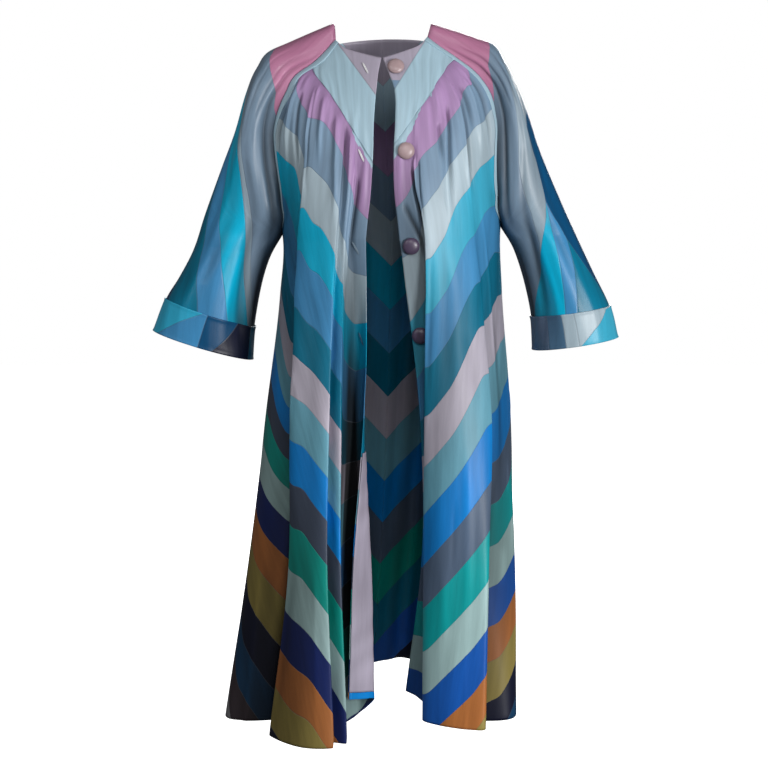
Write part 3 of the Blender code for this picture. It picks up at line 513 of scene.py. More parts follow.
# How far the bands have climbed at places across each front, at six drops, and the drops at
# which each band starts along the front edge
CLIMB_DROPS = (0.10, 0.22, 0.36, 0.60, 0.85, 1.21)
CLIMB_ACROSS = {
    "right": (0, 0.10, 0.21, 0.33, 0.36, 0.435, 0.47, 0.50, 0.54, 0.66, 0.78, 0.88, 1.0),
    "left": (0, 0.06, 0.20, 0.235, 0.33, 0.41, 0.455, 0.54, 0.62, 0.68, 0.77, 0.90, 1.0),
}
CLIMB = {
    "right": (
        (0.0, 0.045, 0.055, 0.061, 0.076, 0.104, 0.143, 0.163, 0.165, 0.176, 0.180, 0.242, 0.272),
        (0.0, 0.036, 0.041, 0.059, 0.076, 0.123, 0.162, 0.177, 0.193, 0.184, 0.269, 0.293, 0.315),
        (0.0, 0.013, 0.024, 0.065, 0.076, 0.137, 0.171, 0.176, 0.214, 0.191, 0.245, 0.285, 0.318),
        (0.0, -0.009, 0.011, 0.071, 0.085, 0.130, 0.155, 0.168, 0.180, 0.196, 0.200, 0.282, 0.325),
        (0.0, -0.020, -0.030, 0.023, 0.043, 0.084, 0.104, 0.123, 0.124, 0.200, 0.249, 0.297, 0.350),
        (0.0, -0.120, -0.135, -0.080, -0.049, -0.009, 0.040, 0.040, 0.068, 0.120, 0.165, 0.220, 0.500),
    ),
    "left": (
        (0.0, 0.047, 0.076, 0.094, 0.112, 0.140, 0.151, 0.171, 0.195, 0.204, 0.208, 0.239, 0.248),
        (0.0, 0.043, 0.076, 0.089, 0.109, 0.147, 0.166, 0.187, 0.211, 0.223, 0.232, 0.246, 0.251),
        (-0.005, 0.012, 0.073, 0.075, 0.110, 0.164, 0.187, 0.200, 0.220, 0.235, 0.247, 0.246, 0.260),
        (-0.055, -0.010, 0.057, 0.058, 0.102, 0.165, 0.203, 0.205, 0.214, 0.227, 0.250, 0.263, 0.286),
        (0.0, 0.008, 0.040, 0.053, 0.098, 0.139, 0.164, 0.195, 0.205, 0.211, 0.247, 0.287, 0.326),
        (0.060, 0.050, 0.022, 0.027, 0.070, 0.100, 0.124, 0.178, 0.213, 0.225, 0.278, 0.326, 0.374),
    ),
}
BAND_STARTS = {
    "right": (0.240, 0.328, 0.426, 0.508, 0.587, 0.678, 0.746, 0.803, 0.863, 0.920,
              0.977, 1.039, 1.101, 1.160, 1.217, 1.275, 1.330, 1.385, 1.440, 1.495),
    "left": (0.225, 0.309, 0.387, 0.470, 0.558, 0.644, 0.724, 0.807, 0.886, 0.971,
             1.043, 1.117, 1.190, 1.261, 1.325, 1.397, 1.460, 1.520, 1.580, 1.640),
}

# Creases pressed into each front: share across and drop at the top and the foot, half width,
# and height, which is less than nothing in a trough
CREASES = {
    "right": (
        (0.652, 0.092, 0.526, 0.290, 0.0050, -0.0035),
        (0.670, 0.085, 0.560, 0.330, 0.0070, 0.0030),
        (0.815, 0.098, 0.767, 0.250, 0.0050, -0.0035),
        (0.901, 0.120, 0.967, 0.240, 0.0055, -0.0035),
        (0.864, 0.080, 0.850, 0.260, 0.0060, 0.0025),
        (0.454, 0.140, 0.432, 0.360, 0.0060, 0.0040),
        (0.400, 0.160, 0.400, 0.330, 0.0060, -0.0030),
        (0.351, 0.175, 0.330, 0.420, 0.0060, 0.0030),
        (0.521, 0.110, 0.500, 0.240, 0.0055, 0.0025),
        (0.120, 0.250, 0.160, 0.420, 0.0060, -0.0022),
        (0.230, 0.230, 0.250, 0.480, 0.0080, 0.0030),
    ),
    "left": (
        (0.611, 0.100, 0.647, 0.190, 0.0050, -0.0030),
        (0.551, 0.115, 0.589, 0.300, 0.0050, -0.0038),
        (0.520, 0.105, 0.540, 0.330, 0.0070, 0.0030),
        (0.419, 0.130, 0.402, 0.320, 0.0050, -0.0040),
        (0.390, 0.140, 0.375, 0.360, 0.0070, 0.0030),
        (0.343, 0.165, 0.368, 0.240, 0.0045, -0.0028),
        (0.199, 0.225, 0.206, 0.350, 0.0040, -0.0035),
        (0.060, 0.238, 0.180, 0.390, 0.0045, -0.0035),
        (0.110, 0.222, 0.190, 0.320, 0.0040, 0.0030),
        (0.020, 0.300, 0.120, 0.420, 0.0050, -0.0025),
        (0.700, 0.080, 0.720, 0.240, 0.0060, 0.0025),
        (0.820, 0.075, 0.860, 0.250, 0.0060, -0.0025),
    ),
}

# The shade that gathers in the folds, as the share of light left on the silk: a row for each of
# LEVELS, with a value for each place in FOLDS and one for the side seam
SHADES = {
    "right": (
        (0.95, 0.85, 0.65, 0.55, 0.60, 0.75, 0.95, 0.80, 0.95, 0.95, 0.85, 0.70, 0.45, 0.60, 0.70, 0.70),
        (1.00, 1.00, 0.80, 0.07, 0.08, 0.45, 1.00, 0.75, 1.00, 0.75, 0.90, 0.50, 0.50, 0.75, 0.75, 0.75),
        (1.00, 1.00, 0.80, 0.03, 0.04, 0.40, 0.95, 0.60, 0.85, 0.58, 0.75, 0.28, 0.30, 0.60, 0.60, 0.60),
        (0.95, 0.95, 0.80, 0.60, 0.50, 0.60, 0.80, 0.55, 0.80, 0.55, 0.60, 0.20, 0.18, 0.45, 0.70, 0.70),
    ),
    "left": (
        (0.65, 0.48, 0.40, 0.50, 0.95, 1.00, 1.00, 0.95, 0.90, 0.85, 0.75, 0.70, 0.70),
        (0.60, 0.50, 0.40, 0.45, 0.80, 0.62, 0.80, 0.90, 0.60, 0.50, 0.60, 0.60, 0.60),
        (0.70, 0.60, 0.45, 0.45, 0.80, 0.75, 0.90, 0.90, 0.40, 0.33, 0.52, 0.60, 0.60),
        (0.60, 0.55, 0.50, 0.50, 0.90, 1.00, 1.05, 0.90, 0.50, 0.60, 0.90, 1.00, 1.00),
    ),
}
SHADE_START = 0.16
TUCKS = 13
TUCK_START = 0.018
SLACK_FOLDS = 30
CREASE_HEIGHT = 1.4
CREASE_WIDTH = 0.8
SEAM_FADE = 0.014
SIDE_FADE = 0.02
BAND_EASE = 2.5
BAND_REACH = 6
BEFORE_FIRST_BAND = 0.2


def uneven(number, pace, start=0.0):
    """A value from -1 to 1 that wanders from one fold to the next."""
    return math.sin(number * pace + start)


def ridge(run, line, width):
    """A soft ridge of height 1 along a line on the cloth."""
    return np.exp(-((run - line) / width) ** 2)


class FrontPanel:
    """The cloth of one front, from the neck to the hem, as places across and down it."""

    def __init__(self, side):
        self.side = side
        stands = []
        for level, drop in enumerate(LEVELS):
            places = [row[1 + 2 * level:3 + 2 * level] for row in FOLDS[side]]
            stands.append(places + [tuple(form_point(front_angle(side, 1.0, drop), drop))])
        stands = np.array(stands)
        knee = np.linalg.norm(np.diff(stands[2], axis=0), axis=1)
        bust = np.linalg.norm(np.diff(stands[0], axis=0), axis=1)
        self.knots = np.concatenate([[0], np.cumsum(knee)]) / knee.sum()
        self.shares = np.concatenate([[0], np.cumsum(bust)]) / bust.sum()
        self.hems = np.append(column(FOLDS[side], FOLD_COLUMNS, "hem"), SIDE_HEM[side])
        self.moved = np.array([
            stands[level] - form_point(front_angle(side, self.shares, drop), drop)
            for level, drop in enumerate(LEVELS)])

    def share(self, across):
        """The share of the yoke seam that a column hangs from."""
        return np.clip(np.interp(across, self.knots, self.shares), 0, 1)

    def points(self, across, drop):
        """Places on the plain cloth at shares across the panel and drops below the neck base."""
        angle = front_angle(self.side, self.share(across), drop)
        levels = blend(LEVELS, drop)
        stands = np.einsum("...l,lkc->...kc", levels, self.moved)
        at_top = self.moved[0] * ease_in(drop, yoke_seam(self.side, 0.5), LEVELS[0])[..., None, None]
        stands = np.where((drop < LEVELS[0])[..., None, None], at_top, stands)
        plan = form_point(angle, drop) + np.einsum("...k,...kc->...c", blend(self.knots, across), stands)
        return lift(plan, drop)

    def hem(self, across):
        """Drop of the hem at a place across."""
        return blend(self.knots, across) @ self.hems

    def relief(self, across, drop, run):
        """Height of the tucks under the yoke, of the creases, and of the silk's slack folds."""
        below = drop - yoke_seam(self.side, self.share(across))
        total = np.zeros(drop.shape)
        for number in range(TUCKS):
            stray = uneven(number, 2.4) + 0.5 * uneven(number, 5.1, 1)
            share = (number + 0.5 + 0.3 * stray) / TUCKS
            at = np.interp(share, self.shares, self.knots)
            line = self.line(across, run, np.full(len(drop), at + 0.01 * uneven(number, 3.3)))
            long = 0.07 + 0.06 * (1 + uneven(number, 1.9, 2))
            width = 0.0050 + 0.0022 * uneven(number, 4.2)
            height = 0.0015 + 0.0014 * uneven(number, 3.7, 1)
            fade = ease_in(below, 0.0, TUCK_START) * (1 - ease_in(below, 0.2 * long, long))
            total += height * fade * ridge(run, line, width + 0.05 * np.maximum(below, 0))
        for first, top, last, foot, width, height in CREASES[self.side]:
            place = np.full(len(drop), first)
            # The rows slope, so the crease's own drop on each row is found in three steps
            for step in range(3):
                along = (self.line(across, drop, place) - top) / (foot - top)
                place = np.clip(first + (last - first) * along[:, 0], 0, 1)
            line = self.line(across, run, place)
            fade = ease_in(along, 0.0, 0.12) * (1 - ease_in(along, 0.45, 1.0))
            total += CREASE_HEIGHT * height * fade * ridge(run, line, CREASE_WIDTH * width)
        for number in range(SLACK_FOLDS):
            at = (number + 0.5 + 0.42 * uneven(number, 2.7, len(self.side))) / SLACK_FOLDS
            top = 0.16 + 0.75 * abs(uneven(number, 1.3, 0.6))
            long = 0.25 + 0.22 * uneven(number, 3.1)
            along = (drop - top) / long
            drift = 0.02 * uneven(number, 1.7)
            line = self.line(across, run, np.clip(at + drift * along[:, 0], 0, 1))
            width = 0.008 + 0.004 * uneven(number, 2.2, 1)
            height = 0.0013 * math.copysign(1.0, uneven(number, 4.1)) + 0.0006 * uneven(number, 5.3)
            fade = ease_in(along, 0.0, 0.3) * (1 - ease_in(along, 0.6, 1.0))
            total += height * fade * ridge(run, line, width)
        total *= ease_in(below, 0.0, SEAM_FADE) * ease_in(run[:, -1:] - run, 0.0, SIDE_FADE)
        return total - UNDER_DEPTH * (1 - ease_in(below, -0.001, 0.004))

    def shade(self, across, drop):
        """The share of light left at each place."""
        down = blend(LEVELS, drop) @ np.array(SHADES[self.side])
        left = np.sum(blend(self.knots, across) * down, axis=-1)
        return 1 - (1 - left) * ease_in(drop, SHADE_START, LEVELS[0])

    def line(self, across, values, at):
        """The values on a line that crosses each row at its own share across."""
        return np.array([[np.interp(place, across[row], values[row])] for row, place in enumerate(at)])

    def bands(self, across, drop, run):
        """The number of the patchwork band at each place, counted down the front edge. The bands'
        seams run straight on the cloth between the places in the table."""
        knots = np.array(CLIMB_ACROSS[self.side])
        climbs = blend(CLIMB_DROPS, drop) @ np.array(CLIMB[self.side])
        stands = np.array([np.interp(knots, across[row], run[row]) for row in range(len(run))])
        cell = np.clip(np.searchsorted(knots, across[0], side="right") - 1, 0, len(knots) - 2)
        first, last = stands[:, cell], stands[:, cell + 1]
        way = (run - first) / (last - first)
        columns = np.arange(len(cell))
        before, after = climbs[:, columns, cell], climbs[:, columns, cell + 1]
        climbed = before + (after - before) * way
        weights = ridge(np.arange(-BAND_REACH, BAND_REACH + 1), 0, BAND_EASE)
        padded = np.pad(climbed, ((0, 0), (BAND_REACH, BAND_REACH)), mode="edge")
        parts = [weight * padded[:, first:first + run.shape[1]] for first, weight in enumerate(weights)]
        starts = BAND_STARTS[self.side]
        numbers = np.arange(1, len(starts) + 1)
        return np.interp(drop + sum(parts) / weights.sum(), starts, numbers, left=BEFORE_FIRST_BAND)


def yoke_seam(side, share):
    """Drop of the yoke's lower seam."""
    return read(YOKE_SEAM, YOKE_SEAM_COLUMNS, side, share)


SUNK_SHADE = 110.0
FRONT_GRID = (188, 232)
FRONT_GLOSS = 0.46
SILK = 0.0009
UNDER_YOKE = 0.003
UNDER_DEPTH = 0.0015
fronts = {}
for side in TURN:
    panel = FrontPanel(side)
    fronts[side] = panel
    across, down = shares(FRONT_GRID)
    top = yoke_seam(side, panel.share(across[0])) - UNDER_YOKE
    bottom = panel.hem(across[0])
    drop = top + (bottom - top) * down
    base = panel.points(across, drop)
    run = run_along(base)
    relief = panel.relief(across, drop, run)
    grid = base + outward(base, side) * relief[..., None]
    bands = panel.bands(across, drop, run)
    light = panel.shade(across, drop) + SUNK_SHADE * relief
    marks = cloth_maps((bands / BAND_SCALE, run), run, drop, light)
    name = "front_" + side
    look = silk("patchwork " + name, FRONT_COLOURS[side], gloss=FRONT_GLOSS)
    item = lay_cloth(name + "_silk", grid, marks, side == "right", SILK, look)
    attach(item, "root")
    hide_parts(name)
    "patchwork_" + name


# Yokes: flat pale blue silk in a V, with a lilac-grey corner at the neck, between the neck edge
# and the seam that the fronts are gathered to.
NECK_EDGE = ((0.0, 0.047), (0.3, 0.037), (0.6, 0.027), (0.85, 0.016), (1.0, 0.0105))
LILAC_GREY = linear(166, 158, 174)
YOKE_GRID = (96, 44)
YOKE_CORNER = {"right": (-0.0800, -0.0180, -0.0092, -0.1160), "left": (0.0778, -0.0141, 0.0222, -0.1040)}
YOKE_COLOURS = {"right": (PALE_BLUE, LILAC_GREY), "left": (PALE_BLUE, LILAC_GREY, SLATE)}
YOKE_EDGES = {
    "right": (((0.0, 0.3), (1.0, 0.3)),),
    "left": (((0.0, 0.3), (1.0, 0.3)), ((0.0, 0.9), (0.42, 0.9), (0.44, 0.3), (1.0, 0.3))),
}
YOKE_RIPPLE = 0.0007
NECK_ROLL = 0.0006


def neck_edge(share):
    """Drop of the neck edge at a share of the way to the raglan seam."""
    return blend([row[0] for row in NECK_EDGE], share) @ np.array([row[1] for row in NECK_EDGE])


for side, panel in fronts.items():
    across, down = shares(YOKE_GRID)
    neck = neck_edge(panel.share(across))
    seam = yoke_seam(side, panel.share(across))
    drop = neck + (seam - neck) * down
    base = panel.points(across, drop)
    run = run_along(base)
    ripple = YOKE_RIPPLE * np.sin(run * 190 + 14 * drop) * ease_in(drop / seam, 0.75, 1.0)
    roll = NECK_ROLL * ridge(drop, neck, 0.004)
    grid = base + outward(base, side) * (ripple - roll)[..., None]
    x0, z0, x1, z1 = YOKE_CORNER[side]
    beside = (grid[..., 0] - x0) * (z1 - z0) - (grid[..., 2] - z0) * (x1 - x0)
    beside = beside / math.hypot(x1 - x0, z1 - z0) * TURN[side]
    marks = cloth_maps((0.3 + beside * 2, -grid[..., 2] * 5), run, drop, 1.0)
    name = "yoke_" + side
    look = silk("yoke silk " + side, YOKE_COLOURS[side], YOKE_EDGES[side], crinkle=0.25)
    item = lay_cloth(name + "_silk", grid, marks, side == "right", SILK, look)
    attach(item, "root")
    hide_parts(name)
    "patchwork_" + name


# Backs: two half-backs of the same patchwork, sewn at the centre back and falling in plain flutes.
BACK_FLUTE_COLUMNS = ("share", "right", "left")
BACK_FLUTES = (
    (0.00, -0.012, -0.012),
    (0.14, 0.016, 0.020),
    (0.30, -0.018, -0.016),
    (0.46, 0.024, 0.018),
    (0.62, -0.016, -0.020),
    (0.78, 0.020, 0.016),
    (0.90, -0.008, -0.008),
    (1.00, 0.000, 0.000),
)
BACK_HEM = 1.214
BACK_HEM_LEVEL_TO = 0.6
NECK_BACK = 0.002
NECK_POINT = 0.0105
FLUTE_START = 0.10
FLUTE_GROWTH = 0.8
BACK_GRID = (110, 190)
BACK_SEAM_FADE = 0.03
BACK_BAND = 0.084
BACK_BAND_LIMITS = (0.1, 21.9)
BACK_COLOURS = (LILAC_GREY, PALE_BLUE, MAUVE, SLATE, PALE_GREY, CYAN, PERIWINKLE, DEEP_TEAL, PALE_LILAC,
                GREY_TEAL, VIVID_BLUE, SLATE_DARK, GREEN, DEEP_TEAL, ROYAL, NAVY, COPPER, OLIVE,
                BROWN) + 4 * (STONE,)


def back_points(side, across, drop):
    """Places on a half-back: across runs from the centre seam to the raglan or side seam."""
    angle = math.pi - np.radians(side_angle(side, across, drop))
    plan = form_point(TURN[side] * angle, drop)
    out = np.stack([TURN[side] * np.sin(angle), -np.cos(angle)], axis=-1)
    flute = read(BACK_FLUTES, BACK_FLUTE_COLUMNS, side, across)
    flute = flute * ease_in(drop, FLUTE_START, BACK_HEM) ** FLUTE_GROWTH
    return lift(plan + out * flute[..., None], drop)


for side in TURN:
    across, down = shares(BACK_GRID)
    top = NECK_BACK + (NECK_POINT - NECK_BACK) * across[0] ** 2
    bottom = BACK_HEM + (SIDE_HEM[side] - BACK_HEM) * ease_in(across[0], BACK_HEM_LEVEL_TO, 1.0)
    drop = top + (bottom - top) * down
    base = back_points(side, across, drop)
    run = run_along(base)
    wave = 0.0016 * np.sin(2 * math.pi * (run + 0.03 * drop) / 0.061 + 2 * TURN[side] + drop * 2)
    wave += 0.0009 * np.sin(2 * math.pi * (run - 0.02 * drop) / 0.037 + drop * 7)
    wave *= ease_in(drop, 0.05, 0.4) * ease_in(np.minimum(run, run[:, -1:] - run), 0.0, BACK_SEAM_FADE)
    grid = base - outward(base, side) * wave[..., None]
    bands = np.clip((drop + run) / BACK_BAND, *BACK_BAND_LIMITS)
    marks = cloth_maps((bands / BAND_SCALE, run), run, drop, 1 + SUNK_SHADE * wave)
    name = "back_" + side
    look = silk("patchwork " + name, BACK_COLOURS)
    item = lay_cloth(name + "_silk", grid, marks, side == "left", SILK, look)
    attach(item, "root")
    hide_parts(name)
    "patchwork_" + name


# Sleeves: raglan sleeves of three-quarter length, gathered at the shoulder, in bands that run
# round the arm.
ARMPIT = 0.351
OUTER_COLUMNS = ("drop", "right_x", "right_z", "left_x", "left_z", "y")
OUTER_LINE = (
    (0.0105, -0.0850, 0.0194, 0.0881, 0.0181, 0.005),
    (0.0300, -0.1280, 0.0020, 0.1340, 0.0050, 0.004),
    (0.0490, -0.1660, -0.0145, 0.1720, -0.0080, 0.002),
    (0.0700, -0.2020, -0.0310, 0.1999, -0.0180, 0.000),
    (0.1000, -0.2235, -0.0600, 0.2185, -0.0471, -0.002),
    (0.1500, -0.2425, -0.1050, 0.2400, -0.0896, -0.005),
    (0.2100, -0.2620, -0.1700, 0.2600, -0.1370, -0.008),
    (0.2800, -0.2860, -0.2320, 0.2860, -0.2120, -0.010),
    (0.3510, -0.3185, -0.3180, 0.3275, -0.3080, -0.010),
)
SLEEVE_COLUMNS = ("share", "right_out_x", "right_out_z", "right_in_x", "right_in_z",
                  "left_out_x", "left_out_z", "left_in_x", "left_in_z", "half_depth")
SLEEVE = (
    (0.00, -0.3185, -0.3180, -0.1783, -0.3570, 0.3275, -0.3080, 0.2152, -0.3440, 0.066),
    (0.30, -0.3410, -0.3850, -0.2030, -0.4020, 0.3520, -0.3600, 0.2405, -0.3870, 0.069),
    (0.55, -0.3675, -0.4344, -0.2190, -0.4560, 0.3825, -0.4235, 0.2595, -0.4450, 0.072),
    (0.77, -0.3910, -0.4720, -0.2310, -0.5240, 0.4130, -0.4850, 0.2725, -0.5060, 0.075),
    (1.00, -0.4140, -0.5300, -0.2360, -0.5840, 0.4280, -0.5420, 0.2770, -0.5670, 0.078),
)
CUFF_TOP = 0.77
TOP_HALF_DEPTH = 0.040
UPPER_HALF_DEPTH = 0.070
FULL_DEPTH_AT = 0.15
TUBE_FROM = 0.12
FOLD_FULLNESS = 0.7

# Folds along the sleeves: place round the section at each end, half width there, height, and
# where along the sleeve each runs, with 0 at the neck, 0.5 at the armpit and 1 at the cuff's end
SLEEVE_FOLDS = (
    (0.14, 0.22, 0.045, 0.0040, 0.04, 0.45),
    (0.26, 0.33, 0.045, 0.0045, 0.06, 0.62),
    (0.38, 0.40, 0.040, -0.0040, 0.15, 0.90),
    (0.16, 0.12, 0.050, -0.0060, 0.50, 0.98),
    (0.27, 0.24, 0.050, 0.0050, 0.55, 1.02),
    (0.62, 0.66, 0.050, 0.0040, 0.10, 0.80),
    (0.76, 0.72, 0.050, -0.0045, 0.20, 0.95),
    (0.87, 0.84, 0.040, 0.0040, 0.45, 1.00),
)
FINE_FOLDS = (
    (0.03, 0.10, 0.014, -0.0022, 0.03, 0.20),
    (0.07, 0.15, 0.018, 0.0016, 0.04, 0.26),
    (0.12, 0.19, 0.014, -0.0020, 0.05, 0.24),
    (0.19, 0.24, 0.020, 0.0010, 0.06, 0.36),
    (0.24, 0.28, 0.016, -0.0018, 0.06, 0.30),
    (0.31, 0.33, 0.020, 0.0014, 0.07, 0.40),
    (0.09, 0.10, 0.022, -0.0045, 0.12, 0.52),
    (0.21, 0.25, 0.034, 0.0012, 0.28, 0.66),
    (0.05, 0.10, 0.022, 0.0018, 0.36, 0.60),
    (0.30, 0.31, 0.026, -0.0024, 0.35, 0.78),
    (0.24, 0.09, 0.024, -0.0048, 0.35, 0.97),
    (0.06, 0.03, 0.020, -0.0025, 0.60, 0.97),
    (0.20, 0.18, 0.024, 0.0020, 0.62, 0.99),
    (0.34, 0.33, 0.024, 0.0018, 0.66, 1.02),
    (0.93, 0.86, 0.020, -0.0022, 0.04, 0.30),
    (0.70, 0.74, 0.024, 0.0022, 0.06, 0.50),
    (0.56, 0.60, 0.022, -0.0020, 0.20, 0.70),
)
SLEEVE_GRID = (150, 170)
UPPER_ROWS = 76
SLEEVE_LENGTH = 0.62
ARMPIT_PASSES = 60
ARMPIT_ROWS = 9.0
CUFF_SHADE = {"right": 0.55, "left": 0.12}

# Lines between the sleeve's bands: places along it, and how far round the section each stands there.
# On the left sleeve four of them start as one.
LEFT_SPLIT = ((0.0, 0.60), (0.27, 0.58), (0.30, 0.38), (0.319, 0.325), (0.400, 0.365), (0.482, 0.328))
SLEEVE_EDGES = {
    "right": (
        ((0.0, 0.60), (0.06, 0.56), (0.085, 0.34), (0.147, 0.072), (0.182, 0.038), (0.22, -0.1),
         (1.0, -0.2)),
        ((0.0, 0.60), (0.10, 0.58), (0.20, 0.36), (0.30, 0.30), (0.40, 0.25), (0.50, 0.20), (0.77, 0.09),
         (1.0, -0.02)),
        ((0.0, 0.60), (0.14, 0.58), (0.20, 0.41), (0.284, 0.347), (0.393, 0.281), (0.482, 0.240),
         (0.766, 0.120), (1.0, 0.02)),
        ((0.0, 0.60), (0.20, 0.58), (0.30, 0.44), (0.40, 0.40), (0.47, 0.367), (0.663, 0.275),
         (0.801, 0.208), (1.0, 0.12)),
        ((0.0, 0.60), (0.34, 0.58), (0.42, 0.46), (0.579, 0.41), (0.669, 0.385), (0.846, 0.297),
         (1.0, 0.24)),
        ((0.0, 0.60), (0.50, 0.58), (0.60, 0.50), (0.85, 0.45), (1.0, 0.40)),
    ),
    "left": (
        ((0.0, 0.60), (0.06, 0.56), (0.09, 0.26), (0.107, 0.134), (0.174, 0.004), (0.20, -0.1),
         (1.0, -0.2)),
        ((0.0, 0.60), (0.08, 0.56), (0.13, 0.34), (0.19, 0.262), (0.227, 0.246), (0.378, 0.208),
         (0.498, 0.235), (0.641, 0.208), (0.75, 0.14), (0.85, 0.062), (1.0, -0.05)),
        LEFT_SPLIT + ((0.663, 0.202), (0.848, 0.064), (1.0, -0.05)),
        LEFT_SPLIT + ((0.490, 0.325), (0.704, 0.269), (0.856, 0.222), (1.0, 0.18)),
        LEFT_SPLIT + ((0.56, 0.35), (0.648, 0.363), (0.758, 0.321), (0.863, 0.269), (1.0, 0.22)),
        LEFT_SPLIT + ((0.56, 0.35), (0.648, 0.363), (0.76, 0.42), (0.86, 0.47), (1.0, 0.52)),
    ),
}
ROSE_MAUVE = linear(180, 118, 150)
SLATE_GREY = linear(112, 133, 153)
ASH_GREY = linear(134, 152, 165)
DEEP_BLUE = linear(0, 72, 114)
SLEEVE_COLOURS = (ROSE_MAUVE, SLATE_GREY, ASH_GREY, CYAN, PERIWINKLE, DEEP_TEAL, DEEP_BLUE)


def seam_point(side, drop, behind):
    """A place on a raglan seam, on the front or behind."""
    angle = front_angle(side, 1.0, drop)
    if behind:
        angle = TURN[side] * math.pi - angle
    return lift(form_point(angle, drop), drop)


def fold_height(folds, around, along):
    """Height of the sleeve's folds at a place round its section and along it."""
    total = np.zeros(np.broadcast(around, along).shape)
    for first, last, width, height, start, end in folds:
        way = np.clip((along - start) / (end - start), 0, 1)
        line = first + (last - first) * way
        fullness = np.sin(math.pi * way) ** FOLD_FULLNESS
        total = total + height * fullness * ridge(around, line, width)
    return total


def sleeve_way(drop, share):
    """How far along the sleeve a place is: 0 at the neck, 0.5 at the armpit, 1 at the cuff's end."""
    return 0.5 * (drop - NECK_POINT) / (ARMPIT - NECK_POINT) + 0.5 * share


def sleeve_points(side, drop, share, around):
    """Places on a sleeve: drop of its raglan seam, share of the way from armpit to cuff end, and
    around its section from the front seam over the arm to the back seam."""
    shape = np.broadcast(drop, share, around).shape
    under = (np.asarray(share) > 0)[..., None]

    def arm(name):
        return read(SLEEVE, SLEEVE_COLUMNS, name, share)

    def outer(name):
        return read(OUTER_LINE, OUTER_COLUMNS, name, drop)

    def place(x, y, z):
        return np.stack(np.broadcast_arrays(x, y, z), axis=-1)

    apex = place(outer(side + "_x"), outer("y"), outer(side + "_z"))
    low_apex = place(arm(side + "_out_x"), outer("y"), arm(side + "_out_z"))
    apex = np.where(under, low_apex, apex)
    inner_x = column(SLEEVE, SLEEVE_COLUMNS, side + "_in_x")
    inner_z = column(SLEEVE, SLEEVE_COLUMNS, side + "_in_z")
    sinking = place(arm(side + "_in_x") - inner_x[0], 0 * share, arm(side + "_in_z") - inner_z[0])
    wide = ease_in(drop, NECK_POINT, FULL_DEPTH_AT)
    upper = TOP_HALF_DEPTH + (UPPER_HALF_DEPTH - TOP_HALF_DEPTH) * wide
    half = np.where(share > 0, arm("half_depth"), upper)
    tube = ease_in(drop, TUBE_FROM, ARMPIT) ** 2
    ahead = np.array([0.0, -1.0, 0.0])
    t = 1 - np.abs(1 - 2 * np.asarray(around, float))
    t = t[..., None]
    halves = []
    for behind in (False, True):
        seam = seam_point(side, drop, behind) + sinking
        facing = -1.0 if behind else 1.0
        to_apex = (apex - seam) * np.array([1.0, 0.0, 1.0])
        # A cubic curve from seam to apex is deepest half-way, where its handles count for 3/8 each
        reach = (8 * half + 4 * facing * (seam[..., 1] + apex[..., 1])) / 3
        low_reach = (reach * tube / 2)[..., None] * facing * ahead
        top_reach = (reach * (1 - tube / 2))[..., None] * facing * ahead
        low = seam + 0.5 * to_apex * (1 - tube)[..., None] + low_reach
        top = apex + top_reach
        near_seam = (1 - t) ** 3 * seam + 3 * (1 - t) ** 2 * t * low
        near_apex = 3 * (1 - t) * t * t * top + t ** 3 * apex
        halves.append(near_seam + near_apex)
    front, back = halves
    places = np.where((np.asarray(around) < 0.5)[..., None], front, back)
    places = np.broadcast_to(places, shape + (3,)).copy()
    middle = (seam_point(side, drop, False) + seam_point(side, drop, True)) / 2 + sinking
    out = places - (middle + apex) / 2
    out /= np.linalg.norm(out, axis=-1, keepdims=True)
    height = fold_height(SLEEVE_FOLDS + FINE_FOLDS, around, sleeve_way(drop, share))
    return places + out * height[..., None]


for side in TURN:
    around, down = shares(SLEEVE_GRID)
    lower_rows = SLEEVE_GRID[1] - UPPER_ROWS
    share = np.concatenate([np.zeros(UPPER_ROWS), np.linspace(0, 1, lower_rows + 1)])[:, None]
    drop = np.concatenate([np.linspace(NECK_POINT, ARMPIT, UPPER_ROWS + 1), np.full(lower_rows, ARMPIT)])
    drop = drop[:, None]
    grid = sleeve_points(side, drop, share, around)

    # The rows near the armpit are eased, so that the sleeve turns without a kink
    fold = np.minimum(around, 1 - around)
    near = ridge(np.arange(1, SLEEVE_GRID[1]), UPPER_ROWS, ARMPIT_ROWS)[:, None]
    near = near * ease_in(fold[1:-1], 0.01, 0.12)
    for step in range(ARMPIT_PASSES):
        level = (grid[:-2] + grid[2:]) / 2
        grid[1:-1] += 0.5 * near[..., None] * (level - grid[1:-1])
    grid[UPPER_ROWS + 1:, -1] = grid[UPPER_ROWS + 1:, 0]
    along = np.broadcast_to(sleeve_way(drop, share), around.shape)
    run = run_along(grid)

    # Light is lost in the hollow by the body, over the top of the arm, and above the cuff
    light = 1 - 0.72 * ridge(fold, 0, 0.09) * ease_in(along, 0.08, 0.32)
    light -= 0.55 * ridge(fold, 0.5, 0.045) * ease_in(along, 0.02, 0.12)
    light -= CUFF_SHADE[side] * ridge(fold, 0.13, 0.09) * ease_in(along, 0.75, 0.98)
    light += SUNK_SHADE * fold_height(FINE_FOLDS, around, along)
    marks = cloth_maps((fold, along), run, along * SLEEVE_LENGTH, light)
    name = "sleeve_" + side
    look = silk("patchwork " + name, SLEEVE_COLOURS, SLEEVE_EDGES[side])
    item = lay_cloth(name + "_silk", grid, marks, side == "right", SILK, look, joined=True)
    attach(item, "root")
    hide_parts(name)
    "patchwork_" + name


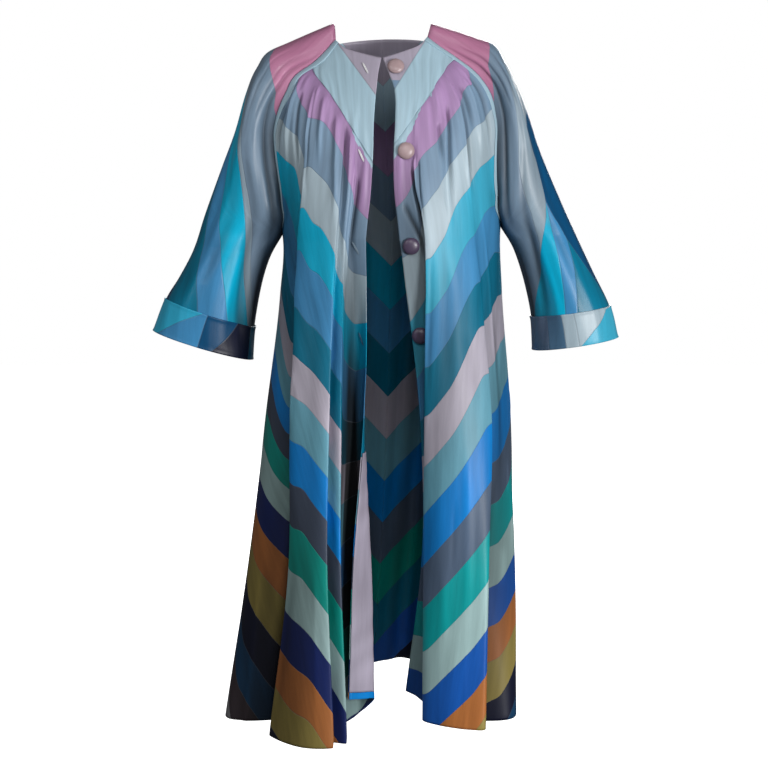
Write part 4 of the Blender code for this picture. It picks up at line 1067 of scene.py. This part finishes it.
# Cuffs: turned up over the sleeves' ends, of the patchwork folded double, with their upper edges
# standing a little off the sleeve.
CUFF_GRID = (120, 24)
CUFF_SILK = 0.0018
CUFF_STAND = 0.0021
CUFF_DEPTH = 0.06
CUFF_EDGES = {
    "right": (((0.0, 0.05), (1.0, 0.06)), ((0.0, 0.12), (1.0, 0.21)), ((0.0, 0.245), (1.0, 0.255)),
              ((0.0, 0.261), (0.29, 0.309), (0.66, 0.367), (1.0, 0.42))),
    "left": (((0.0, 0.12), (1.0, 0.13)), ((0.0, 0.196), (1.0, 0.20)), ((0.0, 0.245), (1.0, 0.25)),
             ((0.0, 0.46), (0.02, 0.449), (0.05, 0.403), (0.60, 0.315), (0.95, 0.263), (1.0, 0.255))),
}
STEEL = linear(72, 106, 134)
BRIGHT_CYAN = linear(50, 172, 208)
CUFF_COLOURS = {
    "right": (DEEP_TEAL, NAVY, DEEP_BLUE, PERIWINKLE, BRIGHT_CYAN),
    "left": (SLATE_DARK, STEEL, PALE_GREY, PALE_GREY, SOFT_CYAN),
}
for side in TURN:
    around, height = shares(CUFF_GRID)
    base = sleeve_points(side, np.full(height.shape, ARMPIT), CUFF_TOP + (1 - CUFF_TOP) * height, around)
    base[:, -1] = base[:, 0]
    wrapped = np.concatenate([base[:, -2:-1], base, base[:, 1:2]], axis=1)
    out = outward(wrapped, side)[:, 1:-1]
    lip = 0.0012 * ridge(height, 0, 0.06) + 0.0008 * ridge(height, 1, 0.05)
    grid = base + out * (CUFF_STAND + lip)[..., None]
    grid[:, -1] = grid[:, 0]
    run = run_along(grid)
    fold = np.minimum(around, 1 - around)
    light = 1 - CUFF_SHADE[side] * ridge(fold, 0, 0.14)
    marks = cloth_maps((fold, height), run, height * CUFF_DEPTH, light)
    name = "cuff_" + side
    look = silk("patchwork " + name, CUFF_COLOURS[side], CUFF_EDGES[side])
    item = lay_cloth(name + "_silk", grid, marks, side == "right", CUFF_SILK, look, joined=True)
    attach(item, "root")
    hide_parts(name)
    "patchwork_" + name


# Raglan bands: narrow pale blue strips that cover the raglan seam allowance on each front.
BAND_BLUE = linear(156, 184, 198)
RAGLAN_BAND = 0.013
BAND_GRID = (6, 120)
BAND_INSET = 0.0020
BAND_TAPER = 0.54
BAND_TOP = NECK_POINT + 0.001
BAND_FOOT = ARMPIT - 0.012
BAND_STAND = 0.0010
BAND_CROWN = 0.0005
BAND_SILK = 0.0008
NEAR_SEAM = 0.06
for side, panel in fronts.items():
    place, down = shares(BAND_GRID)
    drop = BAND_TOP + (BAND_FOOT - BAND_TOP) * down
    near = panel.points(np.array([[1 - NEAR_SEAM, 1.0]] * len(drop)), np.repeat(drop, 2, axis=1))
    reach = np.linalg.norm(near[:, :1] - near[:, 1:], axis=-1)
    over = BAND_INSET + (RAGLAN_BAND - BAND_INSET) * (1 - place)
    narrow = 1 - BAND_TAPER * ease_in(drop, 0.09, 0.18)
    across = 1 - NEAR_SEAM * over * narrow / reach
    top = neck_edge(panel.share(across[0]))
    drop = BAND_FOOT + (drop - BAND_FOOT) * (BAND_FOOT - top) / (BAND_FOOT - BAND_TOP)
    base = panel.points(across, drop)
    crown = BAND_CROWN * (1 - (2 * place - 1) ** 4)
    grid = base + outward(base, side) * (BAND_STAND + crown)[..., None]
    run = run_along(grid)
    marks = cloth_maps((0.0, run), run, drop, 1.0)
    name = "raglan_band_" + side
    look = silk("raglan band silk " + side, (BAND_BLUE,), (), crinkle=0.4)
    item = lay_cloth(name + "_silk", grid, marks, side == "right", BAND_SILK, look)
    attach(item, "root")
    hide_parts(name)


# Facing and hem turn-up of the right front, which show where its edge turns out below the waist:
# dull lilac silk with a narrow blue turn-up under it.
FACING_ACROSS = 0.128
FACING_TOP = 0.74
FACING_SILK = 0.0008
FACING_COLUMNS = 20
HEM_TURN_UP = 0.012
SEAM_GAP = 0.0006
EDGE_GAP = 0.0002
STAND_OFF = 0.0008
TURN_UP_RISE = 0.0004
PUCKER = 0.0007
PUCKER_SHADE = 160
panel = fronts["right"]
for name, end, dye, slot, rows, rises, pulled in (
        ("front_facing_right", HEM_TURN_UP + SEAM_GAP, LILAC_GREY, "lilac_silk", 110, 0.0, 0.5),
        ("hem_turn_up_right", EDGE_GAP, VIVID_BLUE, "blue_silk", 8, TURN_UP_RISE, 0.0)):
    across, down = shares((FACING_COLUMNS, rows))
    across = SEAM_GAP + (FACING_ACROSS - SEAM_GAP) * across
    bottom = panel.hem(across[0])
    first = FACING_TOP if name == "front_facing_right" else bottom - HEM_TURN_UP
    drop = first + (bottom - end - first) * down
    base = panel.points(across, drop)
    run = run_along(base)
    pucker = np.sin(drop * 70 + 3 * np.sin(drop * 23) + 45 * run) + np.sin(drop * 31 - 60 * run)
    stand = SILK + STAND_OFF + rises + PUCKER * (1 + pulled * pucker)
    grid = base - outward(base, "right") * stand[..., None]
    marks = cloth_maps((0.0, run), run, drop, 1 + PUCKER_SHADE * PUCKER * pulled * pucker)
    look = silk("dull " + slot, (dye,), (), gloss=0.42, crinkle=0.8)
    item = lay_cloth(name + "_silk", grid, marks, True, FACING_SILK, look)
    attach(item, "root")
    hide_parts(name)
    name == "front_facing_right"


# Buttons: four domed moulds covered in dusty rose silk, the lower two painted dark plum with the
# shade of the button strip, which turns away from the light; sewn to the left front on short thread
# shanks.
BUTTONS = ((0.0160, 0.066), (0.0210, 0.2125), (0.0180, 0.376), (0.0150, 0.533))
BUTTON_LOOKS = ("covered_rose", "covered_rose", "covered_plum", "covered_plum")
# Painted shade: the second colour is the rose silk darkened for the two buttons on the shaded strip
BUTTON_COLOURS = {"covered_rose": linear(170, 146, 148), "covered_plum": linear(74, 62, 84)}
BUTTON_PROFILE = ((0.0030, 0.0), (0.0026, 0.0012), (0.0030, 0.0022), (0.0120, 0.0022), (0.0142, 0.0027),
                  (0.0148, 0.0037), (0.0147, 0.0046), (0.0140, 0.0056), (0.0126, 0.0070), (0.0106, 0.0083),
                  (0.0080, 0.0092), (0.0050, 0.0097), (0.0022, 0.0099), (0.0, 0.0100))
BUTTON_STAND = 0.0003
UNDER_RIM = 0.0045
RIM_FROM = 0.008
RIM_FOLDS = 13
RIM_FOLD_HEIGHT = 0.0002
PROBE_STEP = 0.01
OBJECT_COORDINATES = 3


def place_on_front(side, inset, drop):
    """A place at a distance in from a front edge, its way out of the cloth, and its way down the edge."""
    panel = fronts[side]
    across = np.linspace(0, 0.3, 121)
    line = panel.points(across, np.full(across.shape, drop))
    at = np.interp(inset, run_along(line[None])[0], across)
    near = panel.points(np.array([at, at, at + PROBE_STEP]), np.array([drop, drop + PROBE_STEP, drop]))
    down = near[1] - near[0]
    out = np.cross(down, near[2] - near[0]) * TURN[side]
    return Vector(near[0]), Vector(out).normalized(), Vector(down).normalized()


def covered(name):
    """Silk pulled over a mould: plain weave, with soft folds that run in under the rim."""
    look, shader, start = new_look("silk " + name)
    where = start.node("ShaderNodeTexCoord", {}, {}, OBJECT_COORDINATES)
    grain = start.node("ShaderNodeTexNoise", {}, {"Vector": where, "Scale": 900.0, "Detail": 2.0})
    cloud = start.node("ShaderNodeTexNoise", {}, {"Vector": where, "Scale": 90.0, "Detail": 2.0})
    shade = (cloud - 0.5) * 0.3 + 1.0
    tone = start.node("ShaderNodeCombineColor", {}, {"Red": shade, "Green": shade, "Blue": shade})
    dyed = tone.mix(1.0, (*BUTTON_COLOURS[name], 1), "MULTIPLY")
    finish_look(shader, dyed, grain + cloud, 0.3, 0.0002, 0.36 + (cloud - 0.5) * 0.1)
    shader.inputs["Coat Weight"].default_value = 0.15
    shader.inputs["Coat Roughness"].default_value = 0.3
    return look


covers = {name: covered(name) for name in BUTTON_COLOURS}
for number, ((inset, drop), slot) in enumerate(zip(BUTTONS, BUTTON_LOOKS), start=1):
    place, out, down = place_on_front("left", inset, drop)
    turned = out.to_track_quat("Z", "Y")
    made = bmesh.new()
    line = [made.verts.new((radius, 0, height)) for radius, height in BUTTON_PROFILE]
    edges = [made.edges.new(pair) for pair in zip(line[:-1], line[1:])]
    bmesh.ops.spin(made, geom=line + edges, axis=(0, 0, 1), cent=(0, 0, 0), steps=48, angle=2 * math.pi,
                   use_merge=True)
    bmesh.ops.remove_doubles(made, verts=made.verts[:], dist=0.00002)
    bmesh.ops.holes_fill(made, edges=made.edges[:], sides=0)
    bmesh.ops.recalc_face_normals(made, faces=made.faces[:])
    for face in made.faces:
        face.smooth = True
    for vert in made.verts:
        turn = math.atan2(vert.co.y, vert.co.x)
        if vert.co.z < UNDER_RIM and math.hypot(vert.co.x, vert.co.y) > RIM_FROM:
            vert.co.z += RIM_FOLD_HEIGHT * math.sin(turn * RIM_FOLDS + number)
        vert.co = place + turned @ (vert.co + Vector((0, 0, BUTTON_STAND)))
    item = to_object(made, f"button_{number}_covered", covers[slot])
    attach(item, "root")
    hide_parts(f"button_{number}")


# Buttonholes: slanting slits in the right front, worked along both lips in pale silk thread. The
# lips of the lower two are painted dark with the shade of the fold they sit in.
HOLES = ((0.0253, 0.066, 50.0), (0.0200, 0.218, 62.0), (0.0180, 0.376, 62.0), (0.0150, 0.537, 66.0))
HOLE_LENGTH = 0.025
HOLE_RISE = 0.0014
LIP_RADIUS = 0.0009
LIP_HEIGHT = 0.0007
LIP_SPREAD = 0.9
THREAD_SHADE = 0.72
# Painted shade: the last two are the pale thread darkened, for the holes that lie in a fold's shade
LIT_AND_SHADED_THREADS = (linear(250, 250, 250), linear(250, 250, 250), linear(120, 140, 155), linear(60, 110, 140))
for number, (inset, drop, slant) in enumerate(HOLES, start=1):
    place, out, down = place_on_front("right", inset, drop)
    level = down.cross(out).normalized()
    if level.x < 0:
        level = -level
    turn = math.radians(slant)
    long = level * math.cos(turn) + down * math.sin(turn)
    wide = out.cross(long)
    made = bmesh.new()
    for beside in (-1, 1):
        lip = bmesh.ops.create_uvsphere(made, u_segments=16, v_segments=24, radius=1.0)["verts"]
        for vert in lip:
            x, y, z = vert.co
            full = 1 - abs(z) ** 6
            vert.co = (place + long * (z * HOLE_LENGTH / 2) + out * (HOLE_RISE + y * LIP_HEIGHT)
                       + wide * LIP_RADIUS * (beside * LIP_SPREAD * full + x))
    bmesh.ops.recalc_face_normals(made, faces=made.faces[:])
    for face in made.faces:
        face.smooth = True
    look, shader, start = new_look(f"buttonhole thread {number}")
    where = start.node("ShaderNodeTexCoord", {}, {}, OBJECT_COORDINATES)
    stitch = start.node("ShaderNodeTexWave", {"wave_type": "BANDS", "bands_direction": "DIAGONAL"},
                        {"Vector": where, "Scale": 420.0, "Distortion": 1.0})
    thread = LIT_AND_SHADED_THREADS[number - 1]
    between = tuple(THREAD_SHADE * part for part in thread)
    tone = stitch.ramp([(0.0, between), (1.0, thread)], sharp=False)
    finish_look(shader, tone, stitch, 0.6, 0.0003, 0.55)
    item = to_object(made, f"buttonhole_{number}_lips", look)
    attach(item, "root")
